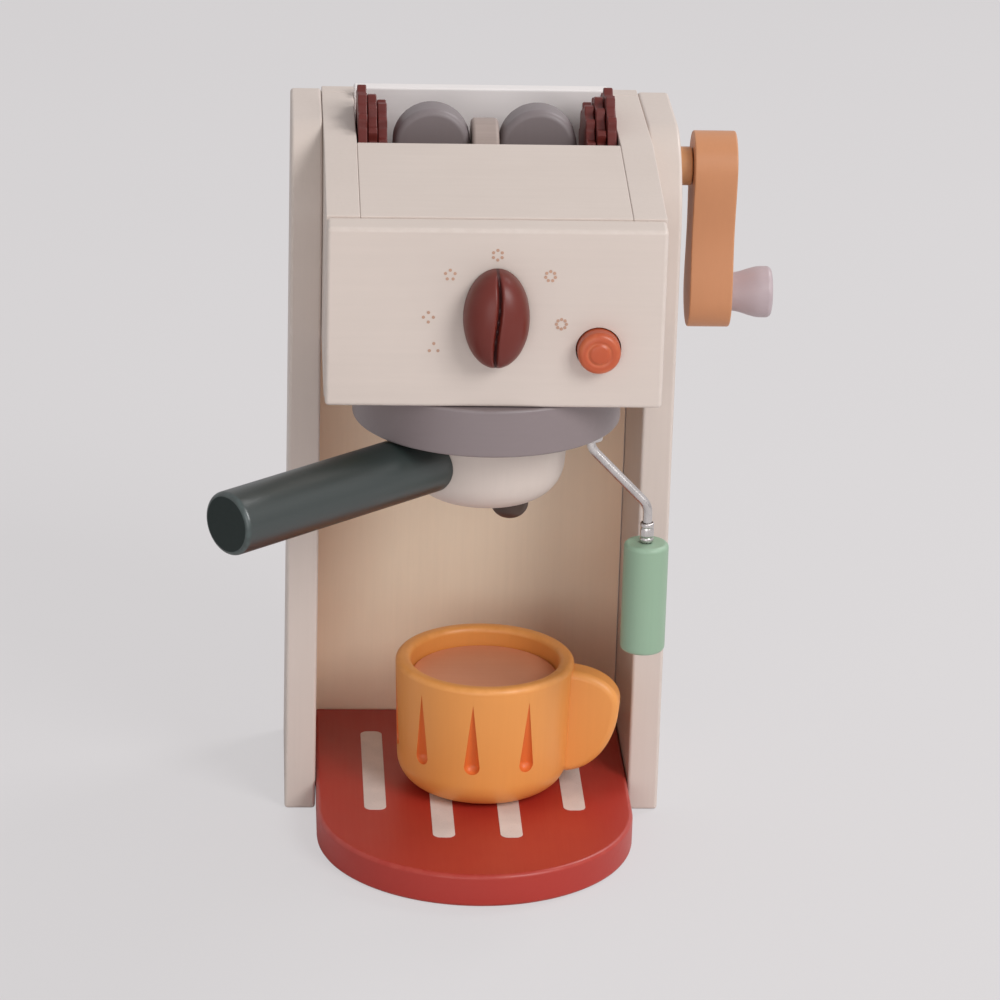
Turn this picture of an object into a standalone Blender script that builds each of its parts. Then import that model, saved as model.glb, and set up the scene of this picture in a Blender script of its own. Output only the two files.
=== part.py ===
"""Wooden toy coffee maker with a hand-cranked grinder, a bean dial, a sprung button, a steam wand,
a bayonet portafilter with twin spouts, and a cup that stands on the tray.

Units are metres. +X is the crank side, -Y the front and +Z up. The origin lies on the floor,
midway between the side panels and in the plane of their front edges.
"""
import math

import bmesh
import bpy
from mathutils import Matrix, Vector

# Clearances and cutting
SEAT_GAP = 0.0003
RUNNING_GAP = 0.0004
OVERRUN = 0.002
WELD = 0.00001

# Body boards
BODY_WIDTH = 0.135
BODY_HEIGHT = 0.250
PANEL_THICKNESS = 0.011
PANEL_DEPTH = 0.072
PANEL_NOSE_RADIUS = 0.030
PANEL_REAR_RADIUS = 0.004
BACK_THICKNESS = 0.008
EDGE_ROUND = 0.0012

# Head box
HEAD_REACH = 0.070
HEAD_FALL = 0.009
FASCIA_HEIGHT = 0.062
FASCIA_THICKNESS = 0.009
FASCIA_ROUND = 0.0018
CHEEK_THICKNESS = 0.011
LID_THICKNESS = 0.008
FLOOR_THICKNESS = 0.008
HOPPER_FRONT_THICKNESS = 0.007
HOPPER_BACK_THICKNESS = 0.006
HOPPER_BACK_PROUD = 0.0035

# Drip tray
TRAY_THICKNESS = 0.012
TRAY_STRAIGHT = 0.025
TRAY_ROUND = 0.0015

# Dowels that join the boards
DOWEL_RADIUS = 0.003
DOWEL_LENGTH = 0.020
TRAY_DOWEL_SHARES = (0.22, 0.78)
BACK_DOWEL_SHARES = (0.25, 0.75)
FASCIA_DOWEL_SHARES = (0.22, 0.78)

# Crank and grinder
SHAFT_RADIUS = 0.004
SHAFT_DROP = 0.0155
SHAFT_BLIND_DEPTH = 0.005
BURR_CLEARANCE = 0.0018
BURR_STEPS = (0.0, 0.0028, 0.0052)
BURR_THICKNESS = 0.0032
BURR_TEETH = 14
BURR_TOOTH_DEPTH = 0.0022
BURR_FLANK_SHARE = 0.22
BURR_TIP_SHARE = 0.38
PADDLE_MIDDLE_GAP = 0.005
PADDLE_SIDE_GAP = 0.0024
PADDLE_LENGTH = 0.042
PADDLE_THICKNESS = 0.0135
PADDLE_ROUND = 0.002
HUB_RADIUS = 0.0160
SPACER_RADIUS = 0.0068
SPACER_LENGTH = 0.005
ARM_THICKNESS = 0.015
ARM_THROW = 0.046
ARM_END_RADIUS = 0.0125
ARM_WAIST_HALF = 0.0102
ARM_ROUND = 0.0006
ARM_BORE_DEPTH = 0.008
CRANK_SCREW_HEAD_RADIUS = 0.0032
CRANK_SCREW_SHANK_RADIUS = 0.0014
CRANK_SCREW_LENGTH = 0.015
CRANK_SCREW_HEAD_DEPTH = 0.002
KNOB_LENGTH = 0.0146
KNOB_NECK_RADIUS = 0.0068
KNOB_END_RADIUS = 0.0091
KNOB_DOME = 0.0016
KNOB_PIN_RADIUS = 0.002
KNOB_PIN_HEAD_RADIUS = 0.0036
KNOB_PIN_HEAD_DEPTH = 0.0024
KNOB_PIN_ROOT = 0.009

# Dial
DIAL_RISE = 0.032
DIAL_HALF_WIDTH = 0.011
DIAL_HALF_LENGTH = 0.017
DIAL_DEPTH = 0.013
DIAL_FULLNESS = 0.65
DIAL_GROOVE_DEPTH = 0.0022
DIAL_GROOVE_SWAY = 0.0006
DIAL_GROOVE_ANGLE = 0.16
DIAL_STANDOFF = 0.0008
SPINDLE_RADIUS = 0.003
SPINDLE_SOCKET = 0.006
SPINDLE_TAIL = 0.006
RETAINER_RADIUS = 0.007
RETAINER_THICKNESS = 0.0028

# Push button
BUTTON_INSET = 0.0219
BUTTON_RISE = 0.0208
BUTTON_RADIUS = 0.0072
BUTTON_PROUD = 0.0065
BUTTON_ROUND = 0.0014
BUTTON_FLANGE_RADIUS = 0.0095
BUTTON_FLANGE_THICKNESS = 0.0022
BUTTON_TRAVEL = 0.004
SPRING_RADIUS = 0.0050
SPRING_WIRE_RADIUS = 0.0006
SPRING_LENGTH = 0.0150
SPRING_TURNS = 6
BLOCK_THICKNESS = 0.008
BLOCK_WIDTH = 0.021

# Group head with its bayonet socket
GROUP_FRONT_PROUD = 0.003
GROUP_SIDE_MARGIN = 0.0102
GROUP_THICKNESS = 0.0167
GROUP_ROUND = 0.0010
SOCKET_WALL = 0.0145
SOCKET_LIP_REACH = 0.0047
SOCKET_LIP = 0.0040
SOCKET_RECESS_HEIGHT = 0.0045
LUG_SPREAD = 48.0
UNLOCK_TURN = 40.0
LUG_NOTCH_MARGIN = 3.0
LUG_HEIGHT = 0.0033
GROUP_SCREW_HEAD_RADIUS = 0.004
GROUP_SCREW_SHANK_RADIUS = 0.0018
GROUP_SCREW_LENGTH = 0.014
GROUP_SCREW_HEAD_DEPTH = 0.0025

# Portafilter
BASKET_SIDE_STEP = 0.0025
BASKET_DEPTH = 0.0285
BASKET_TAPER = 0.0015
BASKET_ROUND = 0.013
BASKET_RIM_WIDTH = 0.0063
BASKET_DISH_DEPTH = 0.003
HANDLE_ANGLE = 222.0
HANDLE_RADIUS = 0.0108
HANDLE_REACH = 0.119
HANDLE_DROP = 0.0113
HANDLE_ROUND = 0.0018
HANDLE_DOWEL_RADIUS = 0.004
HANDLE_DOWEL_SINK = 0.012
HANDLE_DOWEL_LENGTH = 0.032
SPOUT_OFFSET = 0.0125
SPOUT_RADIUS = 0.0065
SPOUT_DROP = 0.0057
SPOUT_ROUND = 0.0055
SPOUT_SINK = 0.005

# Steam wand
WAND_ANGLE = -31.9
WAND_INSET = 0.00535
WIRE_RADIUS = 0.0016
WAND_STUB = 0.0045
WAND_REACH = 0.0205
WAND_FALL = 0.0210
WAND_BEND_RADIUS = 0.007
WAND_TAIL = 0.0045
BUSH_RADIUS = 0.0032
BUSH_FLANGE_RADIUS = 0.0042
BUSH_FLANGE_THICKNESS = 0.0014
BUSH_LENGTH = 0.011
COLLAR_RADIUS = 0.0045
COLLAR_THICKNESS = 0.003
GRIP_RADIUS = 0.0077
GRIP_LENGTH = 0.0395
GRIP_STRAIGHT = 0.0135
GRIP_ROUND = 0.0015
GRIP_SOCKET = 0.024
FERRULE_RADIUS = 0.0024
FERRULE_LENGTH = 0.0070

# Cup and its coffee disc
CUP_SIDE_CLEARANCE = 0.0042
CUP_BACK = 0.0
CUP_HEIGHT = 0.0480
CUP_RADIUS = 0.0320
CUP_TAPER = 0.0015
CUP_BOTTOM_ROUND = 0.011
CUP_WALL = 0.0055
CUP_RIM_ROUND = 0.0022
CUP_FLOOR = 0.007
CUP_LEDGE = 0.002
NOTCH_ANGLES = (55.0, 92.0, 129.0, 166.0, -55.0, -92.0, -129.0, -166.0)
NOTCH_RADIUS = 0.0028
NOTCH_BOTTOM_SHARE = 0.31
NOTCH_TOP_SHARE = 0.88
CUP_HANDLE_TURN = -8.0
CUP_HANDLE_REACH = 0.0195
CUP_HANDLE_RISE = 0.0122
CUP_HANDLE_DROP = 0.0270
CUP_HANDLE_THICKNESS = 0.011
CUP_HANDLE_ROUND = 0.0028
CUP_HANDLE_HEIGHT_SHARE = 0.70
COFFEE_THICKNESS = 0.0075
COFFEE_BELOW_RIM = 0.0067
COFFEE_ROUND = 0.0008

# Facets round a full turn
FINE = 40
MEDIUM = 24
COARSE = 16
TINY = 10

# Places that follow from the sizes above
HALF_WIDTH = BODY_WIDTH / 2
INNER_HALF = HALF_WIDTH - PANEL_THICKNESS
HEAD_HALF = INNER_HALF - SEAT_GAP
CHEEK_INNER = HEAD_HALF - CHEEK_THICKNESS
BOARD_HALF = CHEEK_INNER - SEAT_GAP
BACK_FRONT = PANEL_DEPTH - BACK_THICKNESS
INSIDE_BACK = BACK_FRONT - SEAT_GAP
HEAD_BOTTOM = BODY_HEIGHT - HEAD_FALL - FASCIA_HEIGHT
FASCIA_FRONT = -HEAD_REACH
FASCIA_REAR = FASCIA_FRONT + FASCIA_THICKNESS
HEAD_FRONT = FASCIA_REAR + SEAT_GAP
FLOOR_TOP = HEAD_BOTTOM + FLOOR_THICKNESS
HOPPER_DEPTH = INSIDE_BACK - HOPPER_BACK_THICKNESS
SHAFT_BACK = HOPPER_DEPTH / 2
SHAFT_HEIGHT = BODY_HEIGHT - SHAFT_DROP
BURR_RADIUS = HOPPER_DEPTH / 2 - BURR_CLEARANCE
BURR_OUTER_FACE = CHEEK_INNER - SEAT_GAP * 2
BURR_PITCH = BURR_THICKNESS + SEAT_GAP
BURR_INNER_FACE = BURR_OUTER_FACE - BURR_PITCH * len(BURR_STEPS) + SEAT_GAP
PADDLE_WIDTH = BURR_INNER_FACE - PADDLE_SIDE_GAP - PADDLE_MIDDLE_GAP
PADDLE_OFFSET = PADDLE_MIDDLE_GAP + PADDLE_WIDTH / 2
DIAL_HEIGHT = HEAD_BOTTOM + DIAL_RISE
BUTTON_ACROSS = HEAD_HALF - BUTTON_INSET
BUTTON_HEIGHT = HEAD_BOTTOM + BUTTON_RISE
SHAFT_LEFT = -INNER_HALF - SHAFT_BLIND_DEPTH
SPACER_LEFT = HALF_WIDTH + SEAT_GAP
ARM_LEFT = SPACER_LEFT + SPACER_LENGTH + SEAT_GAP
ARM_RIGHT = ARM_LEFT + ARM_THICKNESS
SHAFT_RIGHT = ARM_LEFT + ARM_BORE_DEPTH - SEAT_GAP
KNOB_HEIGHT = SHAFT_HEIGHT - ARM_THROW
KNOB_LEFT = ARM_RIGHT + SEAT_GAP
KNOB_RIGHT = KNOB_LEFT + KNOB_LENGTH
GROUP_RADIUS = HEAD_HALF - GROUP_SIDE_MARGIN
GROUP_Y = GROUP_RADIUS - HEAD_REACH - GROUP_FRONT_PROUD
SOCKET_RECESS_RADIUS = GROUP_RADIUS - SOCKET_WALL
SOCKET_RADIUS = SOCKET_RECESS_RADIUS - SOCKET_LIP_REACH
BASKET_RADIUS = SOCKET_RECESS_RADIUS - BASKET_SIDE_STEP
BASKET_DISH_RADIUS = SOCKET_RADIUS - BASKET_RIM_WIDTH
GROUP_TOP = HEAD_BOTTOM - SEAT_GAP
GROUP_BOTTOM = GROUP_TOP - GROUP_THICKNESS
BASKET_TOP = GROUP_BOTTOM - SEAT_GAP
BASKET_BOTTOM = BASKET_TOP - BASKET_DEPTH
HANDLE_HEIGHT = GROUP_BOTTOM - HANDLE_DROP
WAND_ACROSS = (GROUP_RADIUS - WAND_INSET) * math.cos(math.radians(WAND_ANGLE))
WAND_Y = GROUP_Y + (GROUP_RADIUS - WAND_INSET) * math.sin(math.radians(WAND_ANGLE))
CUP_HANDLE_ROOT = CUP_RADIUS - CUP_WALL / 2
CUP_ACROSS = INNER_HALF - CUP_SIDE_CLEARANCE - CUP_HANDLE_ROOT - CUP_HANDLE_REACH
CUP_BOTTOM = TRAY_THICKNESS + SEAT_GAP
CUP_TOP = CUP_BOTTOM + CUP_HEIGHT
COFFEE_TOP = CUP_TOP - COFFEE_BELOW_RIM
COFFEE_BOTTOM = COFFEE_TOP - COFFEE_THICKNESS

ALONG_X = Vector((1.0, 0.0, 0.0))
ALONG_Y = Vector((0.0, 1.0, 0.0))
ALONG_Z = Vector((0.0, 0.0, 1.0))


def remove_everything():
    """Empty the scene, so that a second run gives the same model."""
    for old in list(bpy.data.objects):
        bpy.data.objects.remove(old, do_unlink=True)


def make_finish(name, colour, roughness, metallic=0.0):
    """One painted, bare or metal finish."""
    material = bpy.data.materials.new(name)
    material.use_nodes = True
    shader = material.node_tree.nodes["Principled BSDF"]
    shader.inputs["Base Color"].default_value = (*colour, 1.0)
    shader.inputs["Roughness"].default_value = roughness
    shader.inputs["Metallic"].default_value = metallic
    material.diffuse_color = (*colour, 1.0)
    return material


def make_finishes():
    """Every finish of the object by name."""
    return {
        "cream": make_finish("cream_paint", (0.80, 0.70, 0.58), 0.5),
        "wood": make_finish("bare_wood", (0.66, 0.47, 0.29), 0.6),
        "red": make_finish("red_paint", (0.52, 0.040, 0.030), 0.42),
        "maroon": make_finish("maroon_paint", (0.165, 0.026, 0.021), 0.42),
        "orange": make_finish("orange_paint", (0.86, 0.31, 0.035), 0.42),
        "button": make_finish("button_paint", (0.78, 0.125, 0.040), 0.42),
        "grey": make_finish("grey_paint", (0.265, 0.232, 0.250), 0.45),
        "lilac": make_finish("lilac_paint", (0.47, 0.40, 0.415), 0.45),
        "green": make_finish("dark_green_paint", (0.020, 0.050, 0.046), 0.4),
        "mint": make_finish("mint_paint", (0.29, 0.58, 0.40), 0.42),
        "terracotta": make_finish("terracotta_paint", (0.62, 0.235, 0.105), 0.45),
        "apricot": make_finish("apricot_paint", (0.78, 0.38, 0.155), 0.45),
        "coffee": make_finish("coffee_paint", (0.35, 0.15, 0.105), 0.4),
        "brown": make_finish("brown_paint", (0.065, 0.033, 0.022), 0.45),
        "steel": make_finish("bright_steel", (0.62, 0.62, 0.62), 0.25, 1.0),
    }


def add_object(name, bm, finish=None, origin=(0.0, 0.0, 0.0), pivot=None, smooth=True):
    """Turn a mesh in world places into an object whose origin is at the given point."""
    bmesh.ops.remove_doubles(bm, verts=bm.verts, dist=WELD)
    bmesh.ops.recalc_face_normals(bm, faces=bm.faces)
    origin = Vector(origin) if pivot is None else pivot.location
    bmesh.ops.translate(bm, vec=-origin, verts=bm.verts)
    mesh = bpy.data.meshes.new(name)
    bm.to_mesh(mesh)
    bm.free()
    if smooth:
        mesh.shade_smooth()
        mesh.set_sharp_from_angle(angle=math.radians(35.0))
    piece = bpy.data.objects.new(name, mesh)
    bpy.context.scene.collection.objects.link(piece)
    if pivot is None:
        piece.location = origin
    else:
        piece.parent = pivot
    if finish is not None:
        mesh.materials.append(finish)
    return piece


def add_pivot(name, place):
    """An empty on a joint's axis that carries the pieces of one moving body."""
    pivot = bpy.data.objects.new(name, None)
    bpy.context.scene.collection.objects.link(pivot)
    pivot.location = Vector(place)
    return pivot


def arc(centre, radius, start, stop, steps):
    """Points on a round stretch of an outline, in degrees."""
    points = []
    for step in range(steps + 1):
        angle = math.radians(start + (stop - start) * step / steps)
        points.append((centre[0] + radius * math.cos(angle), centre[1] + radius * math.sin(angle)))
    return points


def prism(outline, axis, low, high):
    """Extrude an outline along X, Y or Z. The outline's numbers are the other two axes in order."""
    bm = bmesh.new()
    if axis == "X":
        base = [(low, a, b) for a, b in outline]
        travel = ALONG_X
    elif axis == "Y":
        base = [(a, low, b) for a, b in outline]
        travel = ALONG_Y
    else:
        base = [(a, b, low) for a, b in outline]
        travel = ALONG_Z
    face = bm.faces.new([bm.verts.new(point) for point in base])
    grown = bmesh.ops.extrude_face_region(bm, geom=[face])
    moved = [item for item in grown["geom"] if isinstance(item, bmesh.types.BMVert)]
    bmesh.ops.translate(bm, vec=travel * (high - low), verts=moved)
    return bm


def turned(profile, sides, base, direction, ring=False):
    """Spin a profile of (radius, height) points about the line from base along direction."""
    bm = bmesh.new()
    corners = [bm.verts.new((radius, 0.0, height)) for radius, height in profile]
    edges = [bm.edges.new(pair) for pair in zip(corners, corners[1:])]
    if ring:
        edges.append(bm.edges.new((corners[-1], corners[0])))
    bmesh.ops.spin(
        bm, geom=corners + edges, axis=ALONG_Z, cent=(0.0, 0.0, 0.0), angle=math.tau, steps=sides
    )
    bmesh.ops.remove_doubles(bm, verts=bm.verts, dist=WELD)
    frame = Vector(direction).to_track_quat("Z", "Y").to_matrix().to_4x4()
    bm.transform(Matrix.Translation(Vector(base)) @ frame)
    return bm


def rod_profile(radius, length, rounding=0.0, steps=2):
    """A plain rod with rounded rims at both ends."""
    if rounding == 0.0:
        return [(0.0, 0.0), (radius, 0.0), (radius, length), (0.0, length)]
    lower = arc((radius - rounding, rounding), rounding, -90.0, 0.0, steps)
    upper = arc((radius - rounding, length - rounding), rounding, 0.0, 90.0, steps)
    return [(0.0, 0.0)] + lower + upper + [(0.0, length)]


def ring_profile(inner, outer, length, rounding=0.0):
    """A washer or bush, as a closed loop."""
    if rounding == 0.0:
        return [(inner, 0.0), (outer, 0.0), (outer, length), (inner, length)]
    lower = arc((outer - rounding, rounding), rounding, -90.0, 0.0, 2)
    upper = arc((outer - rounding, length - rounding), rounding, 0.0, 90.0, 2)
    return [(inner, 0.0)] + lower + upper + [(inner, length)]


def round_edges(piece, width, segments=2):
    """Round the board's long edges, but leave its arcs alone."""
    bevel = piece.modifiers.new("rounded_edges", "BEVEL")
    bevel.width = width
    bevel.segments = segments
    bevel.limit_method = "ANGLE"
    bevel.angle_limit = math.radians(40.0)


def boolean(piece, tool, operation="DIFFERENCE"):
    """Cut one piece with another, or join them, exactly."""
    tool.hide_render = True
    tool.display_type = "WIRE"
    step = piece.modifiers.new(tool.name, "BOOLEAN")
    step.operation = operation
    step.solver = "EXACT"
    step.object = tool


def bore(pieces, name, radius, base, direction, length, sides=COARSE):
    """Drill one hole through each piece that it passes."""
    bm = turned(rod_profile(radius, length), sides, base, direction)
    tool = add_object(name, bm, smooth=False)
    for piece in pieces:
        boolean(piece, tool)


def lid_height(y):
    """Height of the head's top, which falls towards the front ahead of the side panels."""
    return BODY_HEIGHT + min(y, 0.0) * HEAD_FALL / HEAD_REACH


def sector(inner, outer, middle, spread, low, high, steps=8):
    """A curved block between two radii round the group head's axis."""
    first, last = middle - spread / 2, middle + spread / 2
    outside = arc((0.0, GROUP_Y), outer, first, last, steps)
    inside = arc((0.0, GROUP_Y), inner, last, first, steps)
    return prism(outside + inside, "Z", low, high)


def make_side_panels(finish):
    """Two full-height boards with a large round nose at the top front corner."""
    outline = [(0.0, 0.0), (PANEL_DEPTH, 0.0)]
    rear = (PANEL_DEPTH - PANEL_REAR_RADIUS, BODY_HEIGHT - PANEL_REAR_RADIUS)
    outline += arc(rear, PANEL_REAR_RADIUS, 0.0, 90.0, 3)
    nose = (PANEL_NOSE_RADIUS, BODY_HEIGHT - PANEL_NOSE_RADIUS)
    outline += arc(nose, PANEL_NOSE_RADIUS, 90.0, 180.0, 10)
    panels = []
    for side, low in (("left", -HALF_WIDTH), ("right", INNER_HALF)):
        bm = prism(outline, "X", low, low + PANEL_THICKNESS)
        panel = add_object("side_panel_" + side, bm, finish)
        round_edges(panel, EDGE_ROUND)
        panels.append(panel)
    return panels


def make_back_panel(finish):
    """The board that closes the back between the side panels."""
    outline = [(-HEAD_HALF, BACK_FRONT), (HEAD_HALF, BACK_FRONT), (HEAD_HALF, PANEL_DEPTH), (-HEAD_HALF, PANEL_DEPTH)]
    panel = add_object("back_panel", prism(outline, "Z", 0.0, BODY_HEIGHT), finish)
    round_edges(panel, EDGE_ROUND, 1)
    return panel


def make_tray(finish):
    """The red base slab: straight between the panels, then a half circle in front."""
    front = arc((0.0, -TRAY_STRAIGHT), HEAD_HALF, 180.0, 360.0, 28)
    outline = [(-HEAD_HALF, INSIDE_BACK)] + front + [(HEAD_HALF, INSIDE_BACK)]
    tray = add_object("drip_tray", prism(outline, "Z", 0.0, TRAY_THICKNESS), finish)
    round_edges(tray, TRAY_ROUND)
    return tray


def make_cheeks(finish):
    """The head's side boards, which run back between the side panels and carry the hopper."""
    outline = [
        (HEAD_FRONT, HEAD_BOTTOM),
        (INSIDE_BACK, HEAD_BOTTOM),
        (INSIDE_BACK, BODY_HEIGHT),
        (0.0, BODY_HEIGHT),
        (HEAD_FRONT, lid_height(HEAD_FRONT)),
    ]
    cheeks = []
    for side, low in (("left", -HEAD_HALF), ("right", CHEEK_INNER)):
        bm = prism(outline, "X", low, low + CHEEK_THICKNESS)
        cheek = add_object("head_cheek_" + side, bm, finish)
        round_edges(cheek, EDGE_ROUND / 2, 1)
        cheeks.append(cheek)
    return cheeks


def make_fascia(finish):
    """The control board across the front of both cheeks, with holes for the dial and the button."""
    outline = [
        (FASCIA_FRONT, HEAD_BOTTOM),
        (FASCIA_REAR, HEAD_BOTTOM),
        (FASCIA_REAR, lid_height(FASCIA_REAR)),
        (FASCIA_FRONT, lid_height(FASCIA_FRONT)),
    ]
    fascia = add_object("control_panel", prism(outline, "X", -HEAD_HALF, HEAD_HALF), finish)
    round_edges(fascia, FASCIA_ROUND, 3)
    reach = FASCIA_THICKNESS + OVERRUN * 2
    start = FASCIA_FRONT - OVERRUN
    bore([fascia], "dial_hole", SPINDLE_RADIUS + RUNNING_GAP, (0.0, start, DIAL_HEIGHT), ALONG_Y, reach)
    button_place = (BUTTON_ACROSS, start, BUTTON_HEIGHT)
    bore([fascia], "button_hole", BUTTON_RADIUS + RUNNING_GAP, button_place, ALONG_Y, reach, MEDIUM)
    return fascia


def make_head_boards(cream, lilac, wood):
    """The sloping lid, the head's floor, and the boards before and behind the grinder."""
    lid_outline = [
        (HEAD_FRONT, lid_height(HEAD_FRONT) - LID_THICKNESS),
        (0.0, BODY_HEIGHT - LID_THICKNESS),
        (0.0, BODY_HEIGHT),
        (HEAD_FRONT, lid_height(HEAD_FRONT)),
    ]
    lid = add_object("sloping_lid", prism(lid_outline, "X", -BOARD_HALF, BOARD_HALF), cream)
    round_edges(lid, EDGE_ROUND / 2, 1)
    floor_outline = [
        (HEAD_FRONT, HEAD_BOTTOM),
        (INSIDE_BACK, HEAD_BOTTOM),
        (INSIDE_BACK, FLOOR_TOP),
        (HEAD_FRONT, FLOOR_TOP),
    ]
    head_floor = add_object("head_floor", prism(floor_outline, "X", -BOARD_HALF, BOARD_HALF), wood)
    wire_hole = WIRE_RADIUS + RUNNING_GAP
    start = (WAND_ACROSS, WAND_Y, HEAD_BOTTOM - OVERRUN)
    bore([head_floor], "wand_hole", wire_hole, start, ALONG_Z, FLOOR_THICKNESS + OVERRUN * 2, TINY)
    front_low = -HOPPER_FRONT_THICKNESS
    front_outline = [
        (front_low, FLOOR_TOP + SEAT_GAP),
        (0.0, FLOOR_TOP + SEAT_GAP),
        (0.0, BODY_HEIGHT - LID_THICKNESS - SEAT_GAP),
        (front_low, lid_height(front_low) - LID_THICKNESS - SEAT_GAP),
    ]
    add_object("hopper_front_board", prism(front_outline, "X", -BOARD_HALF, BOARD_HALF), wood)
    back_low = INSIDE_BACK - HOPPER_BACK_THICKNESS
    back_top = BODY_HEIGHT + HOPPER_BACK_PROUD
    back_outline = [
        (back_low, FLOOR_TOP + SEAT_GAP),
        (INSIDE_BACK, FLOOR_TOP + SEAT_GAP),
        (INSIDE_BACK, back_top),
        (back_low, back_top),
    ]
    back_board = add_object("hopper_back_board", prism(back_outline, "X", -BOARD_HALF, BOARD_HALF), lilac)
    round_edges(back_board, EDGE_ROUND / 2, 1)
    return head_floor


def pin_boards(name, count, wood, pieces, middle, direction):
    """One blind dowel across the joint of two boards, in holes a seat gap wider all round."""
    direction = Vector(direction)
    hole_start = Vector(middle) - direction * (DOWEL_LENGTH / 2 + SEAT_GAP)
    hole_length = DOWEL_LENGTH + SEAT_GAP * 2
    bore(pieces, f"{name}_hole_{count}", DOWEL_RADIUS + SEAT_GAP, hole_start, direction, hole_length, TINY)
    start = Vector(middle) - direction * (DOWEL_LENGTH / 2)
    bm = turned(rod_profile(DOWEL_RADIUS, DOWEL_LENGTH), TINY, start, direction)
    add_object(f"{name}_{count}", bm, wood, origin=middle)


def make_dowels(wood, panels, back_panel, tray, cheeks, fascia):
    """Hidden dowels: the tray and the back to the side panels, the fascia to the cheeks."""
    count = 0
    for panel, side in zip(panels, (-1.0, 1.0)):
        seam = side * INNER_HALF
        for share in TRAY_DOWEL_SHARES:
            count += 1
            middle = (seam, BACK_FRONT * share, TRAY_THICKNESS / 2)
            pin_boards("tray_dowel", count, wood, [panel, tray], middle, ALONG_X)
    count = 0
    for panel, side in zip(panels, (-1.0, 1.0)):
        seam = side * INNER_HALF
        for share in BACK_DOWEL_SHARES:
            count += 1
            middle = (seam, (BACK_FRONT + PANEL_DEPTH) / 2, BODY_HEIGHT * share)
            pin_boards("back_dowel", count, wood, [panel, back_panel], middle, ALONG_X)
    count = 0
    cheek_middle = (HEAD_HALF + CHEEK_INNER) / 2
    seat = DOWEL_LENGTH / 2 - FASCIA_THICKNESS * 2 / 3
    for cheek, side in zip(cheeks, (-1.0, 1.0)):
        for share in FASCIA_DOWEL_SHARES:
            count += 1
            middle = (side * cheek_middle, FASCIA_REAR + seat, HEAD_BOTTOM + FASCIA_HEIGHT * share)
            pin_boards("fascia_dowel", count, wood, [cheek, fascia], middle, ALONG_Y)


def burr_outline(radius, phase):
    """A wheel of blunt teeth, as shares of one tooth's pitch."""
    pitch = math.tau / BURR_TEETH
    root = radius - BURR_TOOTH_DEPTH
    points = []
    for tooth in range(BURR_TEETH):
        start = (tooth + phase) * pitch
        foot_share = BURR_TIP_SHARE + BURR_FLANK_SHARE
        for share, reach in ((0.0, root), (BURR_FLANK_SHARE, radius), (BURR_TIP_SHARE, radius), (foot_share, root)):
            angle = start + share * pitch
            points.append((SHAFT_BACK + reach * math.cos(angle), SHAFT_HEIGHT + reach * math.sin(angle)))
    return points


def make_grinder(finishes, crank):
    """Toothed burr wheels at both ends of the hopper, with two round-ended paddles and a hub between."""
    grip = SHAFT_RADIUS + SEAT_GAP
    wheels = []
    for side_name, side in (("left", -1.0), ("right", 1.0)):
        for number, step in enumerate(BURR_STEPS):
            near = side * (BURR_OUTER_FACE - BURR_PITCH * number)
            far = near - side * BURR_THICKNESS
            outline = burr_outline(BURR_RADIUS - step, number / len(BURR_STEPS))
            bm = prism(outline, "X", min(near, far), max(near, far))
            name = f"burr_wheel_{side_name}_{number + 1}"
            wheels.append(add_object(name, bm, finishes["maroon"], pivot=crank, smooth=False))
        outline = paddle_outline()
        middle = side * PADDLE_OFFSET
        bm = prism(outline, "Y", SHAFT_BACK - PADDLE_THICKNESS / 2, SHAFT_BACK + PADDLE_THICKNESS / 2)
        bmesh.ops.translate(bm, vec=(middle, 0.0, 0.0), verts=bm.verts)
        paddle = add_object("grinder_paddle_" + side_name, bm, finishes["grey"], pivot=crank)
        round_edges(paddle, PADDLE_ROUND)
        wheels.append(paddle)
    start = (-BOARD_HALF, SHAFT_BACK, SHAFT_HEIGHT)
    bore(wheels, "grinder_bore", grip, start, ALONG_X, BOARD_HALF * 2, COARSE)
    hub = ring_profile(grip, HUB_RADIUS, (PADDLE_MIDDLE_GAP - SEAT_GAP) * 2)
    place = (SEAT_GAP - PADDLE_MIDDLE_GAP, SHAFT_BACK, SHAFT_HEIGHT)
    add_object("grinder_hub", turned(hub, COARSE, place, ALONG_X, ring=True), finishes["wood"], pivot=crank)


def paddle_outline():
    """A tongue with round ends, centred on the shaft."""
    radius = PADDLE_WIDTH / 2
    rise = PADDLE_LENGTH / 2 - radius
    upper = arc((0.0, SHAFT_HEIGHT + rise), radius, 0.0, 180.0, 8)
    lower = arc((0.0, SHAFT_HEIGHT - rise), radius, 180.0, 360.0, 8)
    return upper + lower


def arm_outline():
    """The crank arm: two round ends with a slight waist between them."""
    middle = (ARM_END_RADIUS + ARM_WAIST_HALF) / 2
    swing = (ARM_END_RADIUS - ARM_WAIST_HALF) / 2
    steps = 8
    top = arc((SHAFT_BACK, SHAFT_HEIGHT), ARM_END_RADIUS, 0.0, 180.0, 10)
    bottom = arc((SHAFT_BACK, KNOB_HEIGHT), ARM_END_RADIUS, 180.0, 360.0, 10)
    left, right = [], []
    for step in range(1, steps):
        share = step / steps
        half = middle + swing * math.cos(math.tau * share)
        left.append((SHAFT_BACK - half, SHAFT_HEIGHT - ARM_THROW * share))
        right.append((SHAFT_BACK + half, KNOB_HEIGHT + ARM_THROW * share))
    return top + left + bottom + right


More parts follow.
